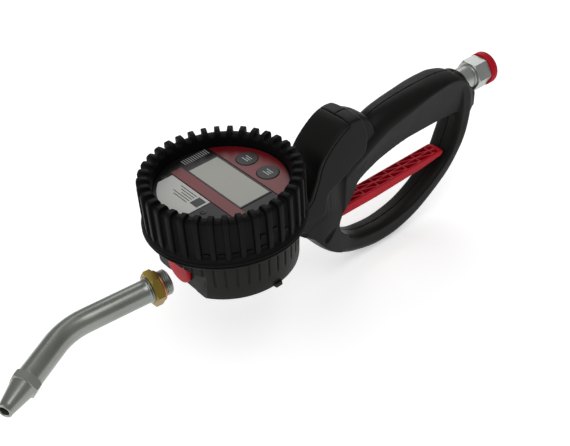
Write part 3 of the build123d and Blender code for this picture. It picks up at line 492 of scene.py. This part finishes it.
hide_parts("rubber_bezel")


def ledge(turn, low_z, high_z, half_width, inner_r, outer_r):
    """A small moulded step in a valley, as a tapered block."""
    corners = []
    for z, out in ((low_z, outer_r), (high_z, outer_r - 0.3)):
        for r, w in ((inner_r, half_width), (out, half_width - 0.3)):
            for s in (-1, 1):
                a = math.radians(turn) + s * w / r
                corners.append((METER_X + r * math.cos(a), r * math.sin(a), z))
    return corners, [(0, 1, 3, 2), (4, 6, 7, 5), (0, 2, 6, 4), (1, 5, 7, 3), (2, 3, 7, 6), (0, 4, 5, 1)]


LEDGES = [(220.5, 1.0, 2.6), (230.5, 1.0, 2.6), (240.5, 1.0, 2.6), (250.5, 1.0, 2.6),
          (260.5, 9.0, 12.6), (270.5, 10.0, 13.6), (280.5, 4.0, 7.0), (260.5, 1.0, 2.6)]
LEDGE_HALF, LEDGE_INNER_R, LEDGE_OUTER_R = 2.2, 59.0, 60.3
ledge_points, ledge_faces = [], []
for turn, low_z, high_z in LEDGES:
    corners, sides = ledge(turn, low_z, high_z, LEDGE_HALF, LEDGE_INNER_R, LEDGE_OUTER_R)
    start = len(ledge_points)
    ledge_points += corners
    ledge_faces += [[start + i for i in side] for side in sides]
ledges = piece("bezel_ledges", np.array(ledge_points) * MM, ledge_faces, rubber, "gun", smooth=False)


# --- Meter housing ----------------------------------------------------------------------
# The round lower housing of the meter, moulded in warm dark grey glass-filled nylon. Fine
# upright grooves run round its upper part, a flat in front carries the outlet port, and a
# small knob stands on its bottom rim.

GROOVES = 42
HOUSING = [(40.0, -46.0), (44.0, -46.0), (44.6, -45.4), (47.4, -45.4), (48.0, -46.0),
           (51.6, -46.0), (53.0, -45.6), (53.8, -44.8), (54.1, -43.6), (54.35, -38.0),
           (54.6, -33.4), (54.65, -32.2), (54.7, -31.2), (54.8, -29.5),
           (55.2, -22.0), (55.6, -14.5), (55.7, -12.6), (55.75, -11.6), (56.0, -9.5),
           (44.8, -9.5), (44.8, -19.0)]
GROOVE_CUT = 0.95           # depth of a groove at its full height
GROOVE_DEPTH = [0] * 11 + [0.2, 0.8, 1, 1, 1, 0.8, 0.2] + [0] * 3
GROOVE_STEPS = [(-0.5, 0), (-0.3, 0), (-0.13, 0), (-0.105, 0.12), (-0.085, 0.85), (-0.04, 1), (0.04, 1),
                (0.085, 0.85), (0.105, 0.12), (0.13, 0), (0.3, 0)]


def cutter(grid):
    """A closed shape that is cut out of a piece and then thrown away."""
    rows, columns = grid.shape[:2]
    mesh = bpy.data.meshes.new("cutter")
    faces = [(i * columns + j, i * columns + (j + 1) % columns, (i + 1) * columns + (j + 1) % columns,
              (i + 1) * columns + j) for i in range(rows - 1) for j in range(columns)]
    faces += [tuple(range(columns)), tuple(range((rows - 1) * columns, rows * columns))]
    mesh.from_pydata([tuple(p) for p in grid.reshape(-1, 3) * MM], [], faces)
    work = bmesh.new()
    work.from_mesh(mesh)
    bmesh.ops.recalc_face_normals(work, faces=work.faces)
    work.to_mesh(mesh)
    work.free()
    made = bpy.data.objects.new("cutter", mesh)
    bpy.context.scene.collection.objects.link(made)
    return made


def cut(target, tools, sharp):
    """Takes the tools out of the target's mesh for good."""
    for tool in tools:
        step = target.modifiers.new("cut", "BOOLEAN")
        step.operation = "DIFFERENCE"
        step.solver = "EXACT"
        step.object = tool
    bpy.context.view_layer.update()
    ready = target.evaluated_get(bpy.context.evaluated_depsgraph_get())
    mesh = bpy.data.meshes.new_from_object(ready)
    target.modifiers.clear()
    target.data = mesh
    for tool in tools:
        bpy.data.objects.remove(tool)
    mesh.polygons.foreach_set("use_smooth", [True] * len(mesh.polygons))
    mesh.set_sharp_from_angle(angle=math.radians(sharp))


def about(origin, axis, profile, columns=96, radius=None):
    """Rows of points round an axis, from (distance along it, radius) pairs."""
    axis = Vector(axis).normalized()
    side = axis.cross(Vector((0, 0, 1)))
    side = side.normalized() if side.length > 0.01 else Vector((1, 0, 0))
    upward = side.cross(axis)
    angle = np.linspace(0, 2 * np.pi, columns, endpoint=False)
    rows = []
    for distance, r in profile:
        reach = np.full(columns, float(r)) if radius is None else radius(angle, distance, r)
        outward = np.cos(angle)[:, None] * np.array(side) + np.sin(angle)[:, None] * np.array(upward)
        rows.append(np.array(origin) + distance * np.array(axis) + reach[:, None] * outward)
    return np.array(rows)


housing_grey = textured("housing_grey", (0.0098, 0.0094, 0.0082), 0.50, grain=0.5, bump=0.14, specular=0.13)
offsets = [(groove + offset, depth) for groove in range(GROOVES) for offset, depth in GROOVE_STEPS]
housing_angle = np.radians(np.array([o[0] for o in offsets]) * 360 / GROOVES)
housing_rows = []
for (r, z), depth in zip(HOUSING, GROOVE_DEPTH):
    reach = r - GROOVE_CUT * depth * np.array([o[1] for o in offsets])
    housing_rows.append(np.stack([METER_X + reach * np.cos(housing_angle), reach * np.sin(housing_angle),
                                  np.full(len(offsets), z)], -1))
housing = lofted("meter_housing", np.array(housing_rows), housing_grey, "gun", loop=False)
FACET_OFFSET, FACET_TOP_Z = 44.5, -15.5
OUTLET_Z, OUTLET_R = -31.5, 9.0
VALVE_PORT_Z, VALVE_PORT_R = -31, 9.52
ROTOR_OFFSET, CHAMBER_FLOOR_Z, CHAMBER_DEPTH = 15.625, -39, 21
facet = about((METER_X - FACET_OFFSET, 0, VALVE_PORT_Z), (-1, 0, 0), [(0, 60), (30, 60)], 4)
facet[..., 2] = np.clip(facet[..., 2], -60, FACET_TOP_Z)
cut(housing, [cutter(facet)], 40)
bores = [cutter(about((METER_X - 60, 0, OUTLET_Z), (1, 0, 0), [(0, OUTLET_R), (40, OUTLET_R)])),
         cutter(about((METER_X + 38, 0, VALVE_PORT_Z), (1, 0, 0), [(0, VALVE_PORT_R), (30, VALVE_PORT_R)]))]
for offset, r in ((ROTOR_OFFSET, 19.05), (-ROTOR_OFFSET, 19.06)):
    bores.append(cutter(about((METER_X, offset, CHAMBER_FLOOR_Z), (0, 0, 1), [(0, r), (CHAMBER_DEPTH, r)])))
cut(housing, bores, 35)
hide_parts("meter_body")
knob_points, knob_faces = ledge(-86.3, -45.7, -42.4, 3.2, 53.0, 56.2)
knob = piece("housing_knob", np.array(knob_points) * MM, knob_faces, housing_grey, "gun", smooth=False)


# --- Outlet plug and inlet cap ----------------------------------------------------------
# Two soft crimson plastic closures for shipping. The plug pushes into the outlet port, and
# the cap slips over the swivel's round end.

PLUG = [(-5.5, 8.95), (-5.3, 9.0), (-0.2, 8.95), (0, 9.4), (0, 13.0), (0.4, 13.4), (1.0, 13.5),
        (1.8, 13.45), (2.5, 13.0), (2.9, 12.2), (3.0, 11.2), (3.0, 5.0), (3.0, 0.05), (0.4, 0.05),
        (0.3, 6.6), (0.0, 7.0), (-5.5, 7.0)]
PLUG_OFFSET = 44.8
plug_grid = about((METER_X - PLUG_OFFSET, 0, OUTLET_Z), (-1, 0, 0), PLUG)
plug = lofted("port_plug", plug_grid, crimson, "outlet_plug")
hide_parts("outlet_plug")
CAP = [(-5.7, 12.05), (-5.7, 14.1), (-5.3, 14.5), (-4.7, 14.6), (-4.2, 14.2), (-3.6, 14.2), (-3.1, 14.55),
       (0.6, 14.55), (1.3, 14.2), (1.8, 13.4), (2.0, 12.4), (2.0, 8.4), (1.7, 8.0), (1.2, 7.8), (1.2, 0.05),
       (0.3, 0.05), (0.3, 12.0)]
cap = lofted("end_cap", about((0, 0, 0), (1, 0, 0), CAP), crimson, "inlet_cap")
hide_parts("inlet_cap")


# --- Inlet swivel -----------------------------------------------------------------------
# The zinc-plated steel swivel that the hose screws into: a round end, a hexagon for the
# spanner, and a turned neck that runs back into the valve.

def hexagon(flats, ends, steep=1.73):
    """The reach of a hexagon with a flat on top, its corners turned away at both ends."""
    def reach(angle, distance, r):
        turn = np.mod(np.degrees(angle), 60.0) - 30.0
        flat = flats / 2 / np.cos(np.radians(turn))
        inside = min(distance - ends[0], ends[1] - distance)
        if r < flats / 2 - 0.5:
            return np.full(len(angle), r)
        return np.minimum(flat, flats / 2 + 0.15 + max(inside, 0) * steep)
    return reach


def steps(start, end, edge=1.6, fine=0.2):
    """Places along a bar, close together near its two ends."""
    near = list(np.arange(start, start + edge, fine))
    return near + [(start + end) / 2] + [start + end - x for x in reversed(near)]


pale_zinc = textured("pale_zinc", (0.40, 0.42, 0.40), 0.34, spread=0.12, grain=0.7, bump=0.05, tint=0.12,
                     metallic=0.85)
HEX_FROM, HEX_TO, HEX_FLATS = -21.5, -6.0, 25.0
swivel_rows = [(-69.0, 6.5), (-69.0, 8.6), (-68.6, 9.0), (-48.0, 9.0), (-47.7, 10.3), (-47.3, 10.6),
               (-24.6, 10.6), (-23.4, 10.4), (-23.0, 9.9), (-22.4, 9.9), (-22.0, 10.4), (HEX_FROM, 10.6)]
swivel_rows += [(x, HEX_FLATS / 2) for x in steps(HEX_FROM, HEX_TO)]
swivel_rows += [(-6.0, 11.5), (-5.8, 12.0), (-0.5, 12.0), (0.0, 11.5), (0.0, 10.2), (-0.7, 9.5), (-15.0, 9.5),
                (-15.0, 6.5)]
HEX_COLUMNS = 144           # points round a hexagon, so that a point falls on each corner
swivel_grid = about((0, 0, 0), (1, 0, 0), swivel_rows, HEX_COLUMNS, hexagon(HEX_FLATS, (HEX_FROM, HEX_TO)))
swivel = lofted("swivel_stem", swivel_grid, pale_zinc, "swivel", sharp=25)
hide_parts("inlet_swivel")


# --- Spout ------------------------------------------------------------------------------
# The bent delivery spout, a drawn steel tube plated in dull zinc. Its threaded end carries a
# yellow-passivated lock nut and a copper washer, and its tip is turned from hexagon bar.

dull_zinc = textured("dull_zinc", (0.27, 0.285, 0.26), 0.30, spread=0.10, grain=1.2, bump=0.06, tint=0.22,
                     metallic=0.9)
SPOUT_GAP, SPOUT_OFFSET = 17.3, -7.5
SPOUT_AT = np.array((METER_X - FACET_OFFSET - SPOUT_GAP, SPOUT_OFFSET, OUTLET_Z))
YAW, BEND = math.radians(180 - 4.8), math.radians(34)
BEND_AT, AFTER_BEND, BEND_R = 82.0, 49.0, 50.0
THREAD_PITCH, THREAD_R, THREAD_CUT, TUBE_R, TUBE_BORE_R = 1.5, 9.9, 0.75, 9.0, 7.0
first = np.array((math.cos(YAW), math.sin(YAW), 0))
second = np.array((math.cos(YAW + BEND), math.sin(YAW + BEND), 0))
tangent = BEND_R * math.tan(BEND / 2)
corner = SPOUT_AT + first * BEND_AT
tip_at = corner + second * AFTER_BEND
inward = np.array((-math.sin(YAW), math.cos(YAW), 0))
centre = corner - first * tangent + inward * BEND_R


def spout_place(distance):
    """A point of the tube's centre line and its direction there."""
    straight = BEND_AT - tangent
    if distance < straight:
        return SPOUT_AT + first * distance, first
    swing = (distance - straight) / BEND_R
    if swing < BEND:
        facing = first * math.cos(swing) + inward * math.sin(swing)
        return centre + (first * math.sin(swing) - inward * math.cos(swing)) * BEND_R, facing
    return corner + second * (tangent + distance - straight - BEND_R * BEND), second


tube_length = BEND_AT - tangent + BEND_R * BEND + AFTER_BEND - tangent
outer = [(0.0, 8.6), (0.5, 9.3), (0.9, THREAD_R)]
outer += [(x, THREAD_R) for x in np.arange(1.1, 18.0, 0.25)]
outer += [(18.2, 9.5), (18.6, 9.1), (19.0, TUBE_R)]
outer += [(x, TUBE_R) for x in np.arange(22.0, tube_length, 2.0)]
outer += [(tube_length - 0.2, TUBE_R), (tube_length, 8.8), (tube_length, 8.2), (tube_length + 7, 8.2)]
inner = [(tube_length + 7, TUBE_BORE_R)]
inner += [(x, TUBE_BORE_R) for x in np.arange(tube_length - 1, 1.0, -3.0)]
inner += [(0.0, 7.2)]
columns = 72
angle = np.linspace(0, 2 * np.pi, columns, endpoint=False)
rows = []
for distance, r in outer + inner:
    at, facing = spout_place(distance)
    sideways = np.cross(facing, (0, 0, 1))
    reach = np.full(columns, r)
    if r == THREAD_R:
        wave = np.abs(np.mod(distance / THREAD_PITCH - angle / (2 * np.pi), 1) - 0.5) * 2
        reach = r - THREAD_CUT * np.clip(wave * 1.3 - 0.15, 0, 1)
    outward = np.cos(angle)[:, None] * sideways + np.sin(angle)[:, None] * np.array((0, 0, 1))
    rows.append(at + reach[:, None] * outward)
tube = lofted("spout_pipe", np.array(rows), dull_zinc, "spout", sharp=45)
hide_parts("spout_tube")

yellow_zinc = textured("yellow_zinc", (0.27, 0.19, 0.035), 0.36, spread=0.12, grain=0.8, bump=0.06, tint=0.35,
                       metallic=0.75)
NUT_FLATS, NUT_AT, NUT_LENGTH, NUT_BORE_R = 24.4, 9.0, 7.0, 9.96
nut_rows = [(0.0, 10.2), (0.0, 11.9)]
nut_rows += [(x, NUT_FLATS / 2) for x in steps(0.0, NUT_LENGTH, 1.4)]
nut_rows += [(NUT_LENGTH, 11.9), (NUT_LENGTH, 10.2), (6.6, NUT_BORE_R), (0.4, NUT_BORE_R)]
nut_sides = hexagon(NUT_FLATS, (0.0, NUT_LENGTH))
nut_grid = about(SPOUT_AT + first * NUT_AT, first, nut_rows, HEX_COLUMNS, nut_sides)
nut = lofted("hex_nut", nut_grid, yellow_zinc, "lock_nut", sharp=25)
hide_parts("lock_nut")

copper = textured("soft_copper", (0.50, 0.19, 0.085), 0.34, spread=0.10, grain=0.8, bump=0.06, tint=0.25,
                  metallic=0.9)
WASHER_AT = 7.2
washer_rows = [(0, NUT_BORE_R), (0, 11.6), (0.2, 11.85), (0.75, 11.9), (1.3, 11.85), (1.5, 11.6),
               (1.5, NUT_BORE_R)]
washer = lofted("sealing_washer", about(SPOUT_AT + first * WASHER_AT, first, washer_rows), copper, "spout")
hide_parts("copper_washer")

TIP_FLATS, TIP_HEX_LENGTH = 19.0, 7.0
tip_rows = [(0.0, 8.25), (0.0, 9.2)] + [(x, TIP_FLATS / 2) for x in steps(0.0, TIP_HEX_LENGTH, 1.2)]
tip_rows += [(7.3, 8.95), (7.6, 8.9), (25.6, 5.75), (26.2, 5.6), (28.5, 5.6), (29.0, 5.1), (29.0, 4.0),
             (28.6, 3.6), (21.0, 3.6), (13.0, 6.2), (7.0, 6.2), (7.0, 8.25)]
tip_grid = about(tip_at, second, tip_rows, HEX_COLUMNS, hexagon(TIP_FLATS, (0.0, TIP_HEX_LENGTH)))
tip = lofted("spout_tip", tip_grid, dull_zinc, "spout", sharp=25)
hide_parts("nozzle_tip")


# --- Carried-over nodes -----------------------------------------------------------------
# The pieces whose drawn shape already serves keep it and take their real finish here: the
# printed face, and the valve, rotors, screws and cells inside.

def dress(material, *nodes):
    """Puts a finish on every material slot of the named nodes."""
    for node in nodes:
        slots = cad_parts[node].material_slots
        if not slots:
            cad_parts[node].data.materials.append(material)
        for place in slots:
            place.material = material


bright_steel = textured("bright_steel", (0.50, 0.51, 0.51), 0.28, spread=0.10, grain=0.5, bump=0.04,
                        tint=0.1, metallic=1.0)
dress(bright_steel, "handle_screws", "trigger_pivot_pin", "valve_stem", "swivel_circlip", "cover_screws",
      "gear_shafts", "gear_magnets", "case_screws", "poppet_guide", "drip_spring", "inlet_strainer")
dress(textured("turned_brass", (0.62, 0.42, 0.13), 0.30, spread=0.08, grain=0.6, bump=0.04, tint=0.15,
               metallic=1.0), "valve_seat", "valve_cap", "drip_poppet")
dress(textured("cast_aluminium", (0.52, 0.53, 0.53), 0.42, spread=0.14, grain=1.4, bump=0.18, tint=0.12,
               metallic=0.9), "valve_body", "chamber_cover")
dress(textured("seal_rubber", (0.012, 0.012, 0.012), 0.6, grain=0.3, bump=0.1), "stem_seal", "poppet_seal",
      "swivel_seals", "chamber_seal")
dress(textured("rotor_resin", (0.16, 0.16, 0.155), 0.45, grain=0.5, bump=0.1), "oval_gear_a", "oval_gear_b")
dress(textured("case_resin", (0.02, 0.02, 0.02), 0.5, grain=0.5, bump=0.1), "display_case", "battery_tray")
dress(textured("solder_mask", (0.012, 0.11, 0.035), 0.35, grain=1.1, bump=0.08, tint=0.2), "circuit_board")
dress(textured("cell_sleeve", (0.30, 0.31, 0.33), 0.30, grain=2.0, bump=0.03, metallic=0.6), "batteries")
dress(textured("display_glass", (0.20, 0.205, 0.165), 0.4, grain=0.8, bump=0.02, tint=0.1), "lcd_module")
dress(textured("face_black", (0.005, 0.005, 0.005), 0.34, spread=0.06, grain=0.4, bump=0.05, specular=0.2),
      "face_panel")
dress(textured("window_tint", (0.165, 0.163, 0.128), 0.22, spread=0.05, grain=3.0, bump=0.01, tint=0.14,
               specular=0.5, coat=0.3), "window_lens")
dress(textured("printed_red", (0.125, 0.0050, 0.0085), 0.34, spread=0.08, grain=0.35, bump=0.04, tint=0.35,
               specular=0.3), "red_overlay")
dress(textured("label_film", (0.44, 0.445, 0.42), 0.42, spread=0.08, grain=0.5, bump=0.03, tint=0.05),
      "name_plate")
dress(textured("button_rubber", (0.022, 0.024, 0.022), 0.45, grain=0.3, bump=0.08, specular=0.3),
      "button_near", "button_far")


# --- Closing spring ---------------------------------------------------------------------
# A spring of round steel wire stands on the valve's head and pushes it shut. In the real gun it
# shortens against the valve cap as the lever lifts the stem; here it is drawn at one fixed length.

SPRING_R, SPRING_WIRE, SPRING_COILS = 5.6, 0.6, 4.7
SPRING_FOOT, SPRING_TOP, STEM_STROKE = -13.0, 7.0, 3.3
COIL_POINTS, WIRE_POINTS = 190, 10
climb = np.linspace(0, 1, COIL_POINTS)[:, None]
coil_angle = 2 * np.pi * SPRING_COILS * climb
wire_angle = np.linspace(0, 2 * np.pi, WIRE_POINTS, endpoint=False)[None, :]
reach = SPRING_R + SPRING_WIRE * np.cos(wire_angle)
wire_z = (SPRING_FOOT + SPRING_WIRE + (SPRING_TOP - SPRING_FOOT - 2 * SPRING_WIRE) * climb
          + SPRING_WIRE * np.sin(wire_angle))
rows = np.stack([VALVE_X + reach * np.cos(coil_angle), reach * np.sin(coil_angle), wire_z], axis=-1)
spring = lofted("closing_spring", rows, bright_steel, "gun", loop=False, sharp=70)
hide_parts("valve_spring")
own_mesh(spring)


# --- Marks on the face ------------------------------------------------------------------
# Screen-printed marks on the display's face: a row of fine pale strokes, plain bars on the
# label, a thin black surround to the window, and a plain sign on each button. Two small dark
# screws hold the face down.

FACE_Z = 20.5
FACE_FLOOR_Z = FACE_Z - 0.5
print_pale = textured("pale_ink", (0.42, 0.43, 0.43), 0.45, grain=0.3, bump=0.02, tint=0.1)
print_dark = textured("dark_ink", (0.012, 0.014, 0.016), 0.4, grain=0.3, bump=0.02, tint=0.1)


def plates(name, spans, low_z, high_z, material, body):
    """Thin flat marks, each from its two corners on the face."""
    points, faces = [], []
    edge = 0.05
    for x0, x1, y0, y1 in spans:
        start = len(points)
        for z, e in ((low_z, 0), (high_z - 0.02, 0), (high_z, edge)):
            rim = ((x0 + e, y0 + e), (x1 - e, y0 + e), (x1 - e, y1 - e), (x0 + e, y1 - e))
            points += [(METER_X + x, y, z) for x, y in rim]
        faces.append([start + 3, start + 2, start + 1, start])
        faces.append([start + 8, start + 9, start + 10, start + 11])
        for row in (start, start + 4):
            faces += [[row + i, row + (i + 1) % 4, row + 4 + (i + 1) % 4, row + 4 + i] for i in range(4)]
    made = piece(name, np.array(points) * MM, faces, material, body, smooth=False)
    return made


SCREW_PROFILE = [(0, 2.5), (0.25, 2.45), (0.4, 2.2), (0.42, 1.25), (0.1, 1.1), (0.08, 0.02)]
for name, x, y in (("face_screw_near", -30, -17), ("face_screw_far", -26, 38)):
    screw_grid = about((METER_X + x, y, FACE_FLOOR_Z), (0, 0, 1), SCREW_PROFILE, 48)
    screw = lofted(name, screw_grid, print_dark, "gun", False)
STROKE_HALF, STROKE_PITCH, STROKE_COUNT = 0.28, 2.0, 12
strokes = [(-4 + k * STROKE_PITCH - STROKE_HALF, -4 + k * STROKE_PITCH + STROKE_HALF, 39.6, 46.4)
           for k in range(STROKE_COUNT)]
plates("scale_strokes", strokes, FACE_FLOOR_Z, FACE_Z - 0.42, print_pale, "gun")
bars = [(-22.6 - k * 2.3 - 0.35, -22.6 - k * 2.3 + 0.35, 0.5, 20 - 3.5 * (k % 3)) for k in range(5)]
bars += [(-30.5, -21.5, -9.8, -1.5)]
plates("label_bars", bars, FACE_Z - 0.1, FACE_Z - 0.04, print_dark, "gun")
LENS = (-7.5, 19.5, -31.5, 31.5)
BORDER = 1.2
x0, x1, y0, y1 = LENS
surround = [(x0 - BORDER, x0, y0 - BORDER, y1 + BORDER), (x1, x1 + BORDER, y0 - BORDER, y1 + BORDER),
            (x0, x1, y0 - BORDER, y0), (x0, x1, y1, y1 + BORDER)]
plates("window_surround", surround, FACE_FLOOR_Z, FACE_Z - 0.05, print_dark, "gun")
for name, y in (("button_near", -12.5), ("button_far", 12.5)):
    sign = [(31.2, 31.9, y - 3.6, y + 3.6), (33.2, 33.9, y - 3.6, y + 1.2), (35.2, 35.9, y - 3.6, y + 3.6)]
    plates(name + "_sign", sign, FACE_Z + 0.6, FACE_Z + 0.66, print_pale, name)


# --- Floor, light and camera ------------------------------------------------------------
# A sheet of pale paper lies just under the gun's lowest point and glows faintly, so that it
# stays white. Three soft lamps and a white surround light the gun, and the camera looks down
# on it from beyond the spout's end.

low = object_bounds()[0][2]
paper = textured("floor_paper", (0.93, 0.93, 0.93), 0.8, grain=2, bump=0.02, tint=0.01)
paper_shader = paper.node_tree.nodes["Principled BSDF"]
paper_shader.inputs["Emission Color"].default_value = (1, 1, 1, 1)
paper_shader.inputs["Emission Strength"].default_value = 0.45
FLOOR_HALF_SIZE, FLOOR_DROP = 6, 0.002
floor_z = low - FLOOR_DROP
floor_corners = [(x * FLOOR_HALF_SIZE, y * FLOOR_HALF_SIZE, floor_z)
                 for x, y in ((-1, -1), (1, -1), (1, 1), (-1, 1))]
floor_mesh = bpy.data.meshes.new("floor")
floor_mesh.from_pydata(floor_corners, [], [(0, 1, 2, 3)])
floor = bpy.data.objects.new("floor", floor_mesh)
bpy.context.scene.collection.objects.link(floor)
floor_mesh.materials.append(paper)

world = bpy.data.worlds.new("surround")
bpy.context.scene.world = world
world.use_nodes = True
background = world.node_tree.nodes["Background"]
background.inputs["Color"].default_value = (1, 1, 1, 1)
background.inputs["Strength"].default_value = 0.34

AIM = Vector((-0.22, 0, -0.02))
LAMPS = [("lamp_key", (-0.5, -0.5, 1.3), 0.9, 6.5), ("lamp_back", (0.6, 1.0, 0.9), 1.0, 6),
         ("lamp_left", (-1.4, 0.3, 0.5), 0.9, 4)]
for name, place, size, watts in LAMPS:
    light = bpy.data.lights.new(name, "AREA")
    light.size = size
    light.energy = watts
    lamp = bpy.data.objects.new(name, light)
    lamp.location = place
    lamp.rotation_euler = (AIM - Vector(place)).to_track_quat("-Z", "Y").to_euler()
    bpy.context.scene.collection.objects.link(lamp)

CAMERA_AT, FOCAL_LENGTH = (-0.62208, -0.49913, 0.4481), 63.16
AZIMUTH, ELEVATION, ROLL = (math.radians(a) for a in (-37.79, 38.07, 3.98))
ahead = Vector((-math.sin(AZIMUTH) * math.cos(ELEVATION), math.cos(AZIMUTH) * math.cos(ELEVATION),
                -math.sin(ELEVATION)))
right = Vector((math.cos(AZIMUTH), math.sin(AZIMUTH), 0))
over = right.cross(ahead)
side = right * math.cos(ROLL) - over * math.sin(ROLL)
upward = right * math.sin(ROLL) + over * math.cos(ROLL)
lens = bpy.data.cameras.new("camera")
lens.lens = FOCAL_LENGTH
lens.clip_start = 0.01
camera = bpy.data.objects.new("camera", lens)
turned = Matrix((side, upward, -ahead)).transposed().to_4x4()
camera.matrix_world = Matrix.Translation(CAMERA_AT) @ turned
bpy.context.scene.collection.objects.link(camera)
bpy.context.scene.camera = camera
bpy.context.scene.view_settings.view_transform = "Standard"
